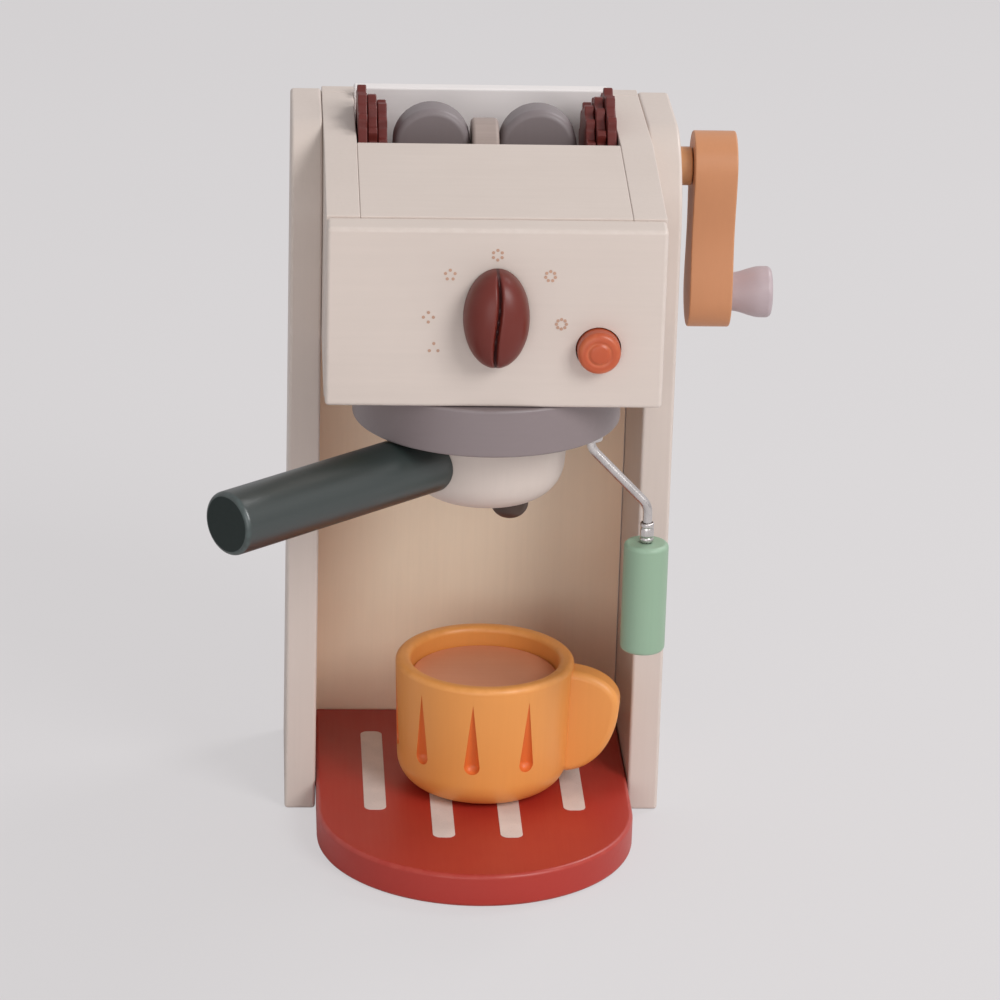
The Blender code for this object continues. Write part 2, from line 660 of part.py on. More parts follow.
def make_crank(finishes, panels, cheeks, crank):
    """Shaft through the head, spacer, arm, and the screw that holds the arm."""
    running = SHAFT_RADIUS + RUNNING_GAP
    left_start = (SHAFT_LEFT - SEAT_GAP, SHAFT_BACK, SHAFT_HEIGHT)
    left_length = -SHAFT_LEFT + SEAT_GAP - CHEEK_INNER + OVERRUN
    bore([panels[0], cheeks[0]], "shaft_hole_left", running, left_start, ALONG_X, left_length)
    right_start = (CHEEK_INNER - OVERRUN, SHAFT_BACK, SHAFT_HEIGHT)
    right_length = HALF_WIDTH - CHEEK_INNER + OVERRUN * 2
    bore([panels[1], cheeks[1]], "shaft_hole_right", running, right_start, ALONG_X, right_length)
    left_end = (SHAFT_LEFT, SHAFT_BACK, SHAFT_HEIGHT)
    bm = turned(rod_profile(SHAFT_RADIUS, SHAFT_RIGHT - SHAFT_LEFT), COARSE, left_end, ALONG_X)
    shaft = add_object("crank_shaft", bm, finishes["wood"], pivot=crank)
    spacer_end = (SPACER_LEFT, SHAFT_BACK, SHAFT_HEIGHT)
    spacer = ring_profile(SHAFT_RADIUS + SEAT_GAP, SPACER_RADIUS, SPACER_LENGTH)
    bm = turned(spacer, MEDIUM, spacer_end, ALONG_X, ring=True)
    add_object("crank_spacer", bm, finishes["apricot"], pivot=crank)
    arm = add_object("crank_arm", prism(arm_outline(), "X", ARM_LEFT, ARM_RIGHT), finishes["terracotta"], pivot=crank)
    round_edges(arm, ARM_ROUND)
    arm_start = (ARM_LEFT - OVERRUN, SHAFT_BACK, SHAFT_HEIGHT)
    bore([arm], "arm_shaft_hole", SHAFT_RADIUS + SEAT_GAP, arm_start, ALONG_X, ARM_BORE_DEPTH + OVERRUN)
    screw_tip = (ARM_RIGHT - CRANK_SCREW_LENGTH, SHAFT_BACK, SHAFT_HEIGHT)
    head_start = CRANK_SCREW_LENGTH - CRANK_SCREW_HEAD_DEPTH
    profile = [
        (0.0, 0.0),
        (CRANK_SCREW_SHANK_RADIUS, 0.0),
        (CRANK_SCREW_SHANK_RADIUS, head_start),
        (CRANK_SCREW_HEAD_RADIUS, head_start),
        (CRANK_SCREW_HEAD_RADIUS, CRANK_SCREW_LENGTH),
        (0.0, CRANK_SCREW_LENGTH),
    ]
    add_object("crank_screw", turned(profile, COARSE, screw_tip, ALONG_X), finishes["brown"], pivot=crank)
    hole_tip = (screw_tip[0] - SEAT_GAP, SHAFT_BACK, SHAFT_HEIGHT)
    shank_hole = CRANK_SCREW_SHANK_RADIUS + SEAT_GAP
    bore([shaft, arm], "crank_screw_hole", shank_hole, hole_tip, ALONG_X, CRANK_SCREW_LENGTH, TINY)
    sink_base = (ARM_RIGHT - CRANK_SCREW_HEAD_DEPTH - SEAT_GAP, SHAFT_BACK, SHAFT_HEIGHT)
    sink_length = CRANK_SCREW_HEAD_DEPTH + OVERRUN
    bore([arm], "crank_screw_sink", CRANK_SCREW_HEAD_RADIUS + SEAT_GAP, sink_base, ALONG_X, sink_length)
    return arm


def make_crank_knob(finishes, arm, crank, knob_pivot):
    """The flared knob that turns on a shouldered pin driven into the arm."""
    root = ARM_RIGHT - KNOB_PIN_ROOT
    end = KNOB_RIGHT - KNOB_DOME
    head_base = end - KNOB_PIN_HEAD_DEPTH
    profile = [
        (0.0, 0.0),
        (KNOB_PIN_RADIUS, 0.0),
        (KNOB_PIN_RADIUS, head_base - root),
        (KNOB_PIN_HEAD_RADIUS, head_base - root),
        (KNOB_PIN_HEAD_RADIUS, end - root - KNOB_PIN_RADIUS / 4),
        (KNOB_PIN_HEAD_RADIUS - KNOB_PIN_RADIUS / 4, end - root),
        (0.0, end - root),
    ]
    pin_root = (root, SHAFT_BACK, KNOB_HEIGHT)
    add_object("knob_pin", turned(profile, COARSE, pin_root, ALONG_X), finishes["steel"], pivot=crank)
    hole = KNOB_PIN_RADIUS + SEAT_GAP
    bore([arm], "knob_pin_hole", hole, (root - SEAT_GAP, SHAFT_BACK, KNOB_HEIGHT), ALONG_X, KNOB_PIN_ROOT + OVERRUN, TINY)
    flare = []
    steps = 5
    straight = KNOB_LENGTH - KNOB_DOME * 2
    for step in range(steps + 1):
        share = step / steps
        radius = KNOB_NECK_RADIUS + (KNOB_END_RADIUS - KNOB_NECK_RADIUS) * (0.5 - 0.5 * math.cos(math.pi * share))
        flare.append((radius, straight * share))
    dome = arc((KNOB_END_RADIUS - KNOB_DOME, KNOB_LENGTH - KNOB_DOME), KNOB_DOME, 0.0, 90.0, 3)
    running = KNOB_PIN_RADIUS + RUNNING_GAP
    sink = KNOB_PIN_HEAD_RADIUS + RUNNING_GAP
    sink_floor = head_base - KNOB_LEFT - RUNNING_GAP
    inside = [(sink, KNOB_LENGTH), (sink, sink_floor), (running, sink_floor), (running, 0.0)]
    start = (KNOB_LEFT, SHAFT_BACK, KNOB_HEIGHT)
    bm = turned(flare + dome + inside, MEDIUM, start, ALONG_X, ring=True)
    add_object("crank_knob", bm, finishes["lilac"], pivot=knob_pivot)


def bean_ring(height_share, rim):
    """One slice of the bean: a half round front with a groove, and a flat back."""
    scale = math.sqrt(max(1.0 - height_share * height_share, rim))
    sway = DIAL_GROOVE_SWAY * math.sin(math.pi * height_share)
    sway_angle = math.asin(sway / DIAL_HALF_WIDTH)
    back = FASCIA_FRONT - DIAL_STANDOFF
    z = DIAL_HEIGHT + DIAL_HALF_LENGTH * height_share
    shares = (-1.0, -0.86, -0.7, -0.52, -0.34)
    angles = [math.pi / 2 * share for share in shares]
    middle = [sway_angle - DIAL_GROOVE_ANGLE, sway_angle, sway_angle + DIAL_GROOVE_ANGLE]
    points = []
    for angle in angles + middle + [-angle for angle in reversed(angles)]:
        depth = DIAL_DEPTH * (scale * max(math.cos(angle), 0.0)) ** DIAL_FULLNESS
        if angle == sway_angle:
            depth -= min(DIAL_GROOVE_DEPTH, depth / 2)
        points.append((DIAL_HALF_WIDTH * scale * math.sin(angle), back - depth, z))
    return points


def make_dial(finishes, fascia_free, dial):
    """The coffee-bean dial on its spindle, kept by a collar behind the fascia."""
    slices = 14
    rows = []
    bm = bmesh.new()
    for step in range(slices + 1):
        share = math.sin(math.pi * (step / slices - 0.5))
        rows.append([bm.verts.new(point) for point in bean_ring(share * 0.985, 0.02)])
    for lower, upper in zip(rows, rows[1:]):
        for number in range(len(lower)):
            after = (number + 1) % len(lower)
            bm.faces.new((lower[number], lower[after], upper[after], upper[number]))
    bm.faces.new(rows[0])
    bm.faces.new(rows[-1])
    bean = add_object("selector_dial", bm, finishes["maroon"], pivot=dial)
    socket_floor = FASCIA_FRONT - DIAL_STANDOFF - SPINDLE_SOCKET
    socket = SPINDLE_RADIUS + SEAT_GAP
    start = (0.0, socket_floor, DIAL_HEIGHT)
    bore([bean], "dial_socket", socket, start, ALONG_Y, SPINDLE_SOCKET + OVERRUN)
    spindle_start = (0.0, socket_floor + SEAT_GAP, DIAL_HEIGHT)
    length = FASCIA_REAR + SPINDLE_TAIL - spindle_start[1]
    bm = turned(rod_profile(SPINDLE_RADIUS, length), COARSE, spindle_start, ALONG_Y)
    add_object("dial_spindle", bm, fascia_free, pivot=dial)
    collar = ring_profile(SPINDLE_RADIUS + SEAT_GAP, RETAINER_RADIUS, RETAINER_THICKNESS)
    bm = turned(collar, COARSE, (0.0, FASCIA_REAR + SEAT_GAP, DIAL_HEIGHT), ALONG_Y, ring=True)
    add_object("dial_retainer", bm, fascia_free, pivot=dial)


def make_button(finishes, button):
    """The push button, flanged behind the fascia and pushed forward by a coil spring."""
    front = FASCIA_FRONT - BUTTON_PROUD
    flange_front = FASCIA_REAR + SEAT_GAP
    flange_rear = flange_front + BUTTON_FLANGE_THICKNESS
    crown = arc((BUTTON_RADIUS - BUTTON_ROUND, BUTTON_ROUND), BUTTON_ROUND, -90.0, 0.0, 3)
    profile = [(0.0, 0.0)] + crown + [
        (BUTTON_RADIUS, flange_front - front),
        (BUTTON_FLANGE_RADIUS, flange_front - front),
        (BUTTON_FLANGE_RADIUS, flange_rear - front),
        (0.0, flange_rear - front),
    ]
    bm = turned(profile, MEDIUM, (BUTTON_ACROSS, front, BUTTON_HEIGHT), ALONG_Y)
    add_object("push_button", bm, finishes["button"], pivot=button)
    spring_start = flange_rear + SEAT_GAP
    make_spring(finishes["steel"], spring_start)
    block_front = spring_start + SPRING_LENGTH + SEAT_GAP
    block_low = FLOOR_TOP + WAND_TAIL + SEAT_GAP
    outline = [
        (BUTTON_ACROSS - BLOCK_WIDTH / 2, block_low),
        (BOARD_HALF, block_low),
        (BOARD_HALF, BUTTON_HEIGHT + BLOCK_WIDTH / 2),
        (BUTTON_ACROSS - BLOCK_WIDTH / 2, BUTTON_HEIGHT + BLOCK_WIDTH / 2),
    ]
    bm = prism(outline, "Y", block_front, block_front + BLOCK_THICKNESS)
    add_object("spring_block", bm, finishes["wood"])


def make_spring(finish, start):
    """A round-wire coil between the button's flange and its block."""
    steps_per_turn = 8
    total = SPRING_TURNS * steps_per_turn
    centre_low = start + SPRING_WIRE_RADIUS
    rise = SPRING_LENGTH - SPRING_WIRE_RADIUS * 2
    curve = bpy.data.curves.new("button_spring", "CURVE")
    curve.dimensions = "3D"
    curve.bevel_depth = SPRING_WIRE_RADIUS
    curve.bevel_resolution = 1
    curve.use_fill_caps = True
    curve.resolution_u = 1
    curve.render_resolution_u = 0
    line = curve.splines.new("POLY")
    line.points.add(total)
    for step in range(total + 1):
        angle = math.tau * step / steps_per_turn
        x = BUTTON_ACROSS + SPRING_RADIUS * math.cos(angle)
        z = BUTTON_HEIGHT + SPRING_RADIUS * math.sin(angle)
        line.points[step].co = (x, centre_low + rise * step / total, z, 1.0)
    spring = bpy.data.objects.new("button_spring", curve)
    bpy.context.scene.collection.objects.link(spring)
    curve.materials.append(finish)


def make_group_head(finishes, head_floor):
    """The grey disc under the head, with a lipped and notched socket for the portafilter's lugs."""
    recess_bottom = SOCKET_LIP
    recess_top = SOCKET_LIP + SOCKET_RECESS_HEIGHT
    lower = arc((GROUP_RADIUS - GROUP_ROUND, GROUP_ROUND), GROUP_ROUND, -90.0, 0.0, 2)
    profile = [
        (0.0, recess_top),
        (SOCKET_RECESS_RADIUS, recess_top),
        (SOCKET_RECESS_RADIUS, recess_bottom),
        (SOCKET_RADIUS, recess_bottom),
        (SOCKET_RADIUS, 0.0),
    ] + lower + [(GROUP_RADIUS, GROUP_THICKNESS), (0.0, GROUP_THICKNESS)]
    bm = turned(profile, FINE, (0.0, GROUP_Y, GROUP_BOTTOM), ALONG_Z)
    head = add_object("group_head", bm, finishes["grey"], origin=(0.0, GROUP_Y, GROUP_BOTTOM))
    notch_spread = LUG_SPREAD + LUG_NOTCH_MARGIN * 2
    low = GROUP_BOTTOM - OVERRUN
    high = GROUP_BOTTOM + SOCKET_LIP + SOCKET_RECESS_HEIGHT / 2
    for number, middle in enumerate((HANDLE_ANGLE - UNLOCK_TURN, HANDLE_ANGLE - UNLOCK_TURN + 180.0)):
        bm = sector(SOCKET_RADIUS - OVERRUN, SOCKET_RECESS_RADIUS - SEAT_GAP, middle, notch_spread, low, high)
        boolean(head, add_object(f"lug_notch_{number + 1}", bm, smooth=False))
    bush_top = GROUP_BOTTOM - SEAT_GAP - BUSH_FLANGE_THICKNESS + BUSH_LENGTH
    start = (WAND_ACROSS, WAND_Y, GROUP_BOTTOM - OVERRUN)
    length = bush_top + SEAT_GAP - start[2]
    bore([head], "bush_hole", BUSH_RADIUS + SEAT_GAP, start, ALONG_Z, length, COARSE)
    start = (WAND_ACROSS, WAND_Y, bush_top - OVERRUN)
    bore([head], "wire_hole", WIRE_RADIUS + RUNNING_GAP, start, ALONG_Z, GROUP_TOP + OVERRUN * 2 - bush_top, TINY)
    tip = FLOOR_TOP - GROUP_SCREW_LENGTH
    head_start = GROUP_SCREW_LENGTH - GROUP_SCREW_HEAD_DEPTH
    profile = [
        (0.0, 0.0),
        (GROUP_SCREW_SHANK_RADIUS, 0.0),
        (GROUP_SCREW_SHANK_RADIUS, head_start),
        (GROUP_SCREW_HEAD_RADIUS, head_start),
        (GROUP_SCREW_HEAD_RADIUS, GROUP_SCREW_LENGTH),
        (0.0, GROUP_SCREW_LENGTH),
    ]
    place = (0.0, GROUP_Y, tip)
    add_object("group_head_screw", turned(profile, COARSE, place, ALONG_Z), finishes["steel"], origin=place)
    shank_start = (0.0, GROUP_Y, tip - SEAT_GAP)
    shank_hole = GROUP_SCREW_SHANK_RADIUS + SEAT_GAP
    bore([head, head_floor], "group_screw_hole", shank_hole, shank_start, ALONG_Z, GROUP_SCREW_LENGTH, TINY)
    sink_start = (0.0, GROUP_Y, FLOOR_TOP - GROUP_SCREW_HEAD_DEPTH - SEAT_GAP)
    sink = GROUP_SCREW_HEAD_RADIUS + SEAT_GAP
    bore([head_floor], "group_screw_sink", sink, sink_start, ALONG_Z, GROUP_SCREW_HEAD_DEPTH + OVERRUN)


def make_portafilter(finishes, portafilter):
    """The cream basket with its bayonet neck, the dark handle on a dowel, and two spouts."""
    neck = SOCKET_RADIUS - RUNNING_GAP
    neck_top = SEAT_GAP + SOCKET_LIP + SOCKET_RECESS_HEIGHT - SEAT_GAP * 2
    dish_floor = BASKET_DEPTH + neck_top - BASKET_DISH_DEPTH
    foot = BASKET_RADIUS - BASKET_TAPER - BASKET_ROUND
    bottom = arc((foot, BASKET_ROUND), BASKET_ROUND, -90.0, 0.0, 4)
    profile = [(0.0, 0.0)] + bottom + [
        (BASKET_RADIUS, BASKET_DEPTH),
        (neck, BASKET_DEPTH),
        (neck, BASKET_DEPTH + neck_top),
        (BASKET_DISH_RADIUS, BASKET_DEPTH + neck_top),
        (BASKET_DISH_RADIUS, dish_floor),
        (0.0, dish_floor),
    ]
    bm = turned(profile, FINE, (0.0, GROUP_Y, BASKET_BOTTOM), ALONG_Z)
    basket = add_object("portafilter_basket", bm, finishes["cream"], pivot=portafilter)
    lug_high = BASKET_TOP + neck_top - SEAT_GAP
    lug_low = lug_high - LUG_HEIGHT
    lug_reach = SOCKET_RECESS_RADIUS - RUNNING_GAP - SEAT_GAP
    for number, middle in enumerate((HANDLE_ANGLE, HANDLE_ANGLE + 180.0)):
        bm = sector(neck - OVERRUN, lug_reach, middle, LUG_SPREAD, lug_low, lug_high)
        boolean(basket, add_object(f"bayonet_lug_{number + 1}", bm, smooth=False), "UNION")
    angle = math.radians(HANDLE_ANGLE)
    outward = Vector((math.cos(angle), math.sin(angle), 0.0))
    across = Vector((-math.sin(angle), math.cos(angle), 0.0))
    axis_point = Vector((0.0, GROUP_Y, HANDLE_HEIGHT))
    inner = BASKET_RADIUS - HANDLE_RADIUS
    handle_length = HANDLE_REACH - inner
    bm = turned(rod_profile(HANDLE_RADIUS, handle_length, HANDLE_ROUND, 2), MEDIUM, axis_point + outward * inner, outward)
    handle = add_object("portafilter_handle", bm, finishes["green"], pivot=portafilter)
    cope = [(0.0, -SEAT_GAP)] + arc((foot, BASKET_ROUND), BASKET_ROUND + SEAT_GAP, -90.0, 0.0, 4) + [
        (BASKET_RADIUS + SEAT_GAP, BASKET_DEPTH),
        (BASKET_RADIUS + SEAT_GAP, BASKET_DEPTH + OVERRUN),
        (0.0, BASKET_DEPTH + OVERRUN),
    ]
    bm = turned(cope, FINE, (0.0, GROUP_Y, BASKET_BOTTOM), ALONG_Z)
    boolean(handle, add_object("handle_cope", bm, smooth=False))
    dowel_start = BASKET_RADIUS - HANDLE_DOWEL_SINK
    hole_start = axis_point + outward * (dowel_start - SEAT_GAP)
    hole_length = HANDLE_DOWEL_LENGTH + SEAT_GAP * 2
    hole = HANDLE_DOWEL_RADIUS + SEAT_GAP
    bore([basket, handle], "handle_dowel_hole", hole, hole_start, outward, hole_length, TINY)
    dowel = rod_profile(HANDLE_DOWEL_RADIUS, HANDLE_DOWEL_LENGTH)
    bm = turned(dowel, TINY, axis_point + outward * dowel_start, outward)
    add_object("handle_dowel", bm, finishes["wood"], pivot=portafilter)
    for name, side in (("left", -1.0), ("right", 1.0)):
        place = Vector((0.0, GROUP_Y, BASKET_BOTTOM - SPOUT_DROP)) + across * (side * SPOUT_OFFSET)
        length = SPOUT_DROP + SPOUT_SINK
        tip = arc((SPOUT_RADIUS - SPOUT_ROUND, SPOUT_ROUND), SPOUT_ROUND, -90.0, 0.0, 4)
        profile = [(0.0, 0.0)] + tip + [(SPOUT_RADIUS, length), (0.0, length)]
        add_object("spout_" + name, turned(profile, COARSE, place, ALONG_Z), finishes["brown"], pivot=portafilter)
        hole_base = (place.x, place.y, BASKET_BOTTOM - OVERRUN)
        bore([basket], f"spout_{name}_hole", SPOUT_RADIUS + SEAT_GAP, hole_base, ALONG_Z, OVERRUN + SPOUT_SINK + SEAT_GAP)


def rounded_route(corners, radius, steps):
    """A wire route with each inner corner replaced by a round bend."""
    route = [Vector(corners[0])]
    for before, corner, after in zip(corners, corners[1:], corners[2:]):
        corner = Vector(corner)
        inward = (Vector(before) - corner).normalized()
        outward = (Vector(after) - corner).normalized()
        half = inward.angle(outward) / 2
        setback = radius / math.tan(half)
        centre = corner + (inward + outward).normalized() * (radius / math.sin(half))
        first = corner + inward * setback - centre
        last = corner + outward * setback - centre
        turn = first.angle(last)
        for step in range(steps + 1):
            share = step / steps
            weight = (math.sin((1.0 - share) * turn), math.sin(share * turn))
            route.append(centre + (first * weight[0] + last * weight[1]) / math.sin(turn))
    route.append(Vector(corners[-1]))
    return route


def make_wand(finishes, wand):
    """A bent steel wire that swings in a bush under the group head, with a ferrule and a mint grip."""
    bend_top = GROUP_BOTTOM - WAND_STUB
    grip_across = WAND_ACROSS + WAND_REACH
    bend_bottom = bend_top - WAND_FALL
    grip_top = bend_bottom - GRIP_STRAIGHT
    wire_end = grip_top - GRIP_SOCKET + SEAT_GAP
    corners = [
        (WAND_ACROSS, WAND_Y, FLOOR_TOP + WAND_TAIL),
        (WAND_ACROSS, WAND_Y, bend_top),
        (grip_across, WAND_Y, bend_bottom),
        (grip_across, WAND_Y, wire_end),
    ]
    route = rounded_route(corners, WAND_BEND_RADIUS, 5)
    curve = bpy.data.curves.new("wand_wire", "CURVE")
    curve.dimensions = "3D"
    curve.bevel_depth = WIRE_RADIUS
    curve.bevel_resolution = 2
    curve.use_fill_caps = True
    curve.resolution_u = 1
    curve.render_resolution_u = 0
    line = curve.splines.new("POLY")
    line.points.add(len(route) - 1)
    for point, place in zip(line.points, route):
        point.co = (*(place - wand.location), 1.0)
    wire = bpy.data.objects.new("wand_wire", curve)
    bpy.context.scene.collection.objects.link(wire)
    wire.parent = wand
    curve.materials.append(finishes["steel"])
    bush_low = GROUP_BOTTOM - SEAT_GAP - BUSH_FLANGE_THICKNESS
    inner = WIRE_RADIUS + RUNNING_GAP
    profile = [
        (inner, 0.0),
        (BUSH_FLANGE_RADIUS, 0.0),
        (BUSH_FLANGE_RADIUS, BUSH_FLANGE_THICKNESS),
        (BUSH_RADIUS, BUSH_FLANGE_THICKNESS),
        (BUSH_RADIUS, BUSH_LENGTH),
        (inner, BUSH_LENGTH),
    ]
    place = (WAND_ACROSS, WAND_Y, bush_low)
    add_object("wand_bush", turned(profile, COARSE, place, ALONG_Z, ring=True), finishes["steel"], origin=place)
    collar = ring_profile(WIRE_RADIUS + SEAT_GAP, COLLAR_RADIUS, COLLAR_THICKNESS)
    place = (WAND_ACROSS, WAND_Y, FLOOR_TOP + SEAT_GAP)
    add_object("wand_collar", turned(collar, COARSE, place, ALONG_Z, ring=True), finishes["steel"], pivot=wand)
    ferrule = ring_profile(WIRE_RADIUS + SEAT_GAP, FERRULE_RADIUS, FERRULE_LENGTH)
    place = (grip_across, WAND_Y, grip_top + SEAT_GAP)
    add_object("wand_ferrule", turned(ferrule, COARSE, place, ALONG_Z, ring=True), finishes["steel"], pivot=wand)
    grip_place = (grip_across, WAND_Y, grip_top - GRIP_LENGTH)
    bm = turned(rod_profile(GRIP_RADIUS, GRIP_LENGTH, GRIP_ROUND, 2), MEDIUM, grip_place, ALONG_Z)
    grip = add_object("wand_grip", bm, finishes["mint"], pivot=wand)
    hole_start = (grip_across, WAND_Y, grip_top - GRIP_SOCKET)
    bore([grip], "grip_socket", WIRE_RADIUS + SEAT_GAP, hole_start, ALONG_Z, GRIP_SOCKET + OVERRUN, TINY)


def cup_outer_radius(height):
    """Radius of the cup's side, a little wider at the rim."""
    return CUP_RADIUS - CUP_TAPER * (1.0 - height / CUP_HEIGHT)


def make_cup(finishes, cup, coffee):
    """The orange cup with a solid ear and cut flutes, and the loose coffee disc in it."""
    ledge = COFFEE_BOTTOM - SEAT_GAP - CUP_BOTTOM
    inner = CUP_RADIUS - CUP_WALL
    foot = cup_outer_radius(CUP_BOTTOM_ROUND)
    outer_bottom = arc((foot - CUP_BOTTOM_ROUND, CUP_BOTTOM_ROUND), CUP_BOTTOM_ROUND, -90.0, 0.0, 5)
    rim_outer = arc((CUP_RADIUS - CUP_RIM_ROUND, CUP_HEIGHT - CUP_RIM_ROUND), CUP_RIM_ROUND, 0.0, 90.0, 2)
    rim_inner = arc((inner + CUP_RIM_ROUND, CUP_HEIGHT - CUP_RIM_ROUND), CUP_RIM_ROUND, 90.0, 180.0, 2)
    profile = [(0.0, 0.0)] + outer_bottom + rim_outer + rim_inner + [
        (inner, ledge),
        (inner - CUP_LEDGE, ledge),
        (inner - CUP_LEDGE, CUP_FLOOR),
        (0.0, CUP_FLOOR),
    ]
    centre = (CUP_ACROSS, CUP_BACK, CUP_BOTTOM)
    body = add_object("cup", turned(profile, FINE, centre, ALONG_Z), finishes["orange"], pivot=cup)
    turn = math.radians(CUP_HANDLE_TURN)
    middle = CUP_BOTTOM + CUP_HEIGHT * CUP_HANDLE_HEIGHT_SHARE
    outline = []
    for across, up in arc((0.0, 0.0), 1.0, -90.0, 90.0, 12):
        outline.append((across * CUP_HANDLE_REACH, up * (CUP_HANDLE_RISE if up > 0.0 else CUP_HANDLE_DROP)))
    ear = prism(outline, "Y", -CUP_HANDLE_THICKNESS / 2, CUP_HANDLE_THICKNESS / 2)
    sharp = [edge for edge in ear.edges if abs(edge.verts[0].co.y - edge.verts[1].co.y) < WELD]
    rims = [edge for edge in sharp if edge.calc_length() < CUP_HANDLE_REACH]
    bmesh.ops.bevel(ear, geom=rims, offset=CUP_HANDLE_ROUND, segments=2, profile=0.5, affect="EDGES")
    place = Matrix.Translation(Vector((CUP_ACROSS, CUP_BACK, middle))) @ Matrix.Rotation(turn, 4, "Z")
    ear.transform(place @ Matrix.Translation(ALONG_X * CUP_HANDLE_ROOT))
    boolean(body, add_object("cup_ear", ear, smooth=False), "UNION")
    notch_low = CUP_HEIGHT * NOTCH_BOTTOM_SHARE
    notch_high = CUP_HEIGHT * NOTCH_TOP_SHARE
    for number, angle in enumerate(NOTCH_ANGLES):
        around = math.radians(angle) + turn
        outward = Vector((math.cos(around), math.sin(around), 0.0))
        base = Vector((CUP_ACROSS, CUP_BACK, CUP_BOTTOM)) + outward * cup_outer_radius(notch_low)
        tip = Vector((CUP_ACROSS, CUP_BACK, CUP_BOTTOM)) + outward * cup_outer_radius(notch_high)
        base.z += notch_low
        tip.z += notch_high
        length = (tip - base).length
        profile = arc((0.0, NOTCH_RADIUS), NOTCH_RADIUS, -90.0, 0.0, 2) + [(0.0, length)]
        bm = turned(profile, TINY, base, tip - base)
        boolean(body, add_object(f"cup_notch_{number + 1}", bm, smooth=False))
    disc = rod_profile(inner - RUNNING_GAP, COFFEE_THICKNESS, COFFEE_ROUND, 1)
    start = (CUP_ACROSS, CUP_BACK, COFFEE_BOTTOM)
    add_object("coffee_insert", turned(disc, FINE, start, ALONG_Z), finishes["coffee"], pivot=coffee)


def build():
    """Make every piece of the machine, the boards first and then what moves in them."""
    remove_everything()
    finishes = make_finishes()
    crank = add_pivot("crank_axis", (0.0, SHAFT_BACK, SHAFT_HEIGHT))
    knob_pivot = add_pivot("crank_knob_axis", (KNOB_LEFT, SHAFT_BACK, KNOB_HEIGHT))
    dial = add_pivot("dial_axis", (0.0, FASCIA_FRONT, DIAL_HEIGHT))
    button = add_pivot("button_axis", (BUTTON_ACROSS, FASCIA_FRONT, BUTTON_HEIGHT))
    portafilter = add_pivot("portafilter_axis", (0.0, GROUP_Y, GROUP_BOTTOM))
    wand = add_pivot("wand_axis", (WAND_ACROSS, WAND_Y, GROUP_BOTTOM))
    cup = add_pivot("cup_axis", (CUP_ACROSS, CUP_BACK, CUP_BOTTOM))
    coffee = add_pivot("coffee_axis", (CUP_ACROSS, CUP_BACK, COFFEE_BOTTOM))
    panels = make_side_panels(finishes["cream"])
    back_panel = make_back_panel(finishes["cream"])
    tray = make_tray(finishes["red"])
    cheeks = make_cheeks(finishes["cream"])
    fascia = make_fascia(finishes["cream"])
    head_floor = make_head_boards(finishes["cream"], finishes["lilac"], finishes["wood"])
    make_dowels(finishes["wood"], panels, back_panel, tray, cheeks, fascia)
    make_grinder(finishes, crank)
    arm = make_crank(finishes, panels, cheeks, crank)
    make_crank_knob(finishes, arm, crank, knob_pivot)
    make_dial(finishes, finishes["wood"], dial)
    make_button(finishes, button)
    make_group_head(finishes, head_floor)
    make_portafilter(finishes, portafilter)
    make_wand(finishes, wand)
    make_cup(finishes, cup, coffee)


build()
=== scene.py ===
import math

import bmesh
import bpy
from mathutils import Matrix, Vector


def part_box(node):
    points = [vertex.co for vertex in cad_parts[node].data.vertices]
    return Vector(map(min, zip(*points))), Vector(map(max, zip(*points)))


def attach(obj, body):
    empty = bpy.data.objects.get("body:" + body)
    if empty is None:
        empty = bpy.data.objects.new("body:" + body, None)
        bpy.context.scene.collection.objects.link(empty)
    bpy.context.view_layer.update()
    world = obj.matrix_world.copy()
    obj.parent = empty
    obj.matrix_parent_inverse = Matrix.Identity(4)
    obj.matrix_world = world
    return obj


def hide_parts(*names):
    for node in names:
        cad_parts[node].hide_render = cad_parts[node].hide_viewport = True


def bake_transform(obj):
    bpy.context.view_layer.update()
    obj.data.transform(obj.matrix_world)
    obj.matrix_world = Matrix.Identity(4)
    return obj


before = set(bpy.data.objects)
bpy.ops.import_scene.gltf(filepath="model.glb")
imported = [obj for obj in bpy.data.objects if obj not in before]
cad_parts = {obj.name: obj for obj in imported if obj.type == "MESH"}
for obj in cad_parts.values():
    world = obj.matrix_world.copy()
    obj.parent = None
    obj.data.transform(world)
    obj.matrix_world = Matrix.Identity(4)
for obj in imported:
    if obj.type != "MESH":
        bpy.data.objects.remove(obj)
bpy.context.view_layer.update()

# Side panels
# Two upright hardwood boards with a large round nose at the top front and a small round behind.
# They are shaped on a router, sanded, and sprayed with two coats of cream satin paint.
PANEL_NOSE = 0.030
PANEL_HEEL = 0.004
PANEL_EASE = 0.0012
CREAM = (0.645, 0.552, 0.498)
CREAM_RUBBED = (0.690, 0.600, 0.550)
SATIN = 0.44
ALONG = {"X": (0.04, 1.0, 1.0), "Y": (1.0, 0.04, 1.0), "Z": (1.0, 1.0, 0.04)}
GRAIN_FINE = 620.0
CLOUD_FINE = 34.0
PEEL_FINE = 2600.0
WEAR_FINE = 240.0
GRAIN_SHARE = 0.45
PEEL_SHARE = 0.35
PAINT_RELIEF = 0.13
PAINT_DEPTH = 0.0001
SHARPER_THAN = math.radians(35.0)
SAME_POINT = 1e-6


def node(tree, kind, inputs=None, **settings):
    """Add one node. An input is given as a plain value or as the socket that feeds it."""
    made = tree.nodes.new(kind)
    for name, value in settings.items():
        setattr(made, name, value)
    for name, value in (inputs or {}).items():
        if isinstance(value, bpy.types.NodeSocket):
            tree.links.new(value, made.inputs[name])
        else:
            made.inputs[name].default_value = value
    return made


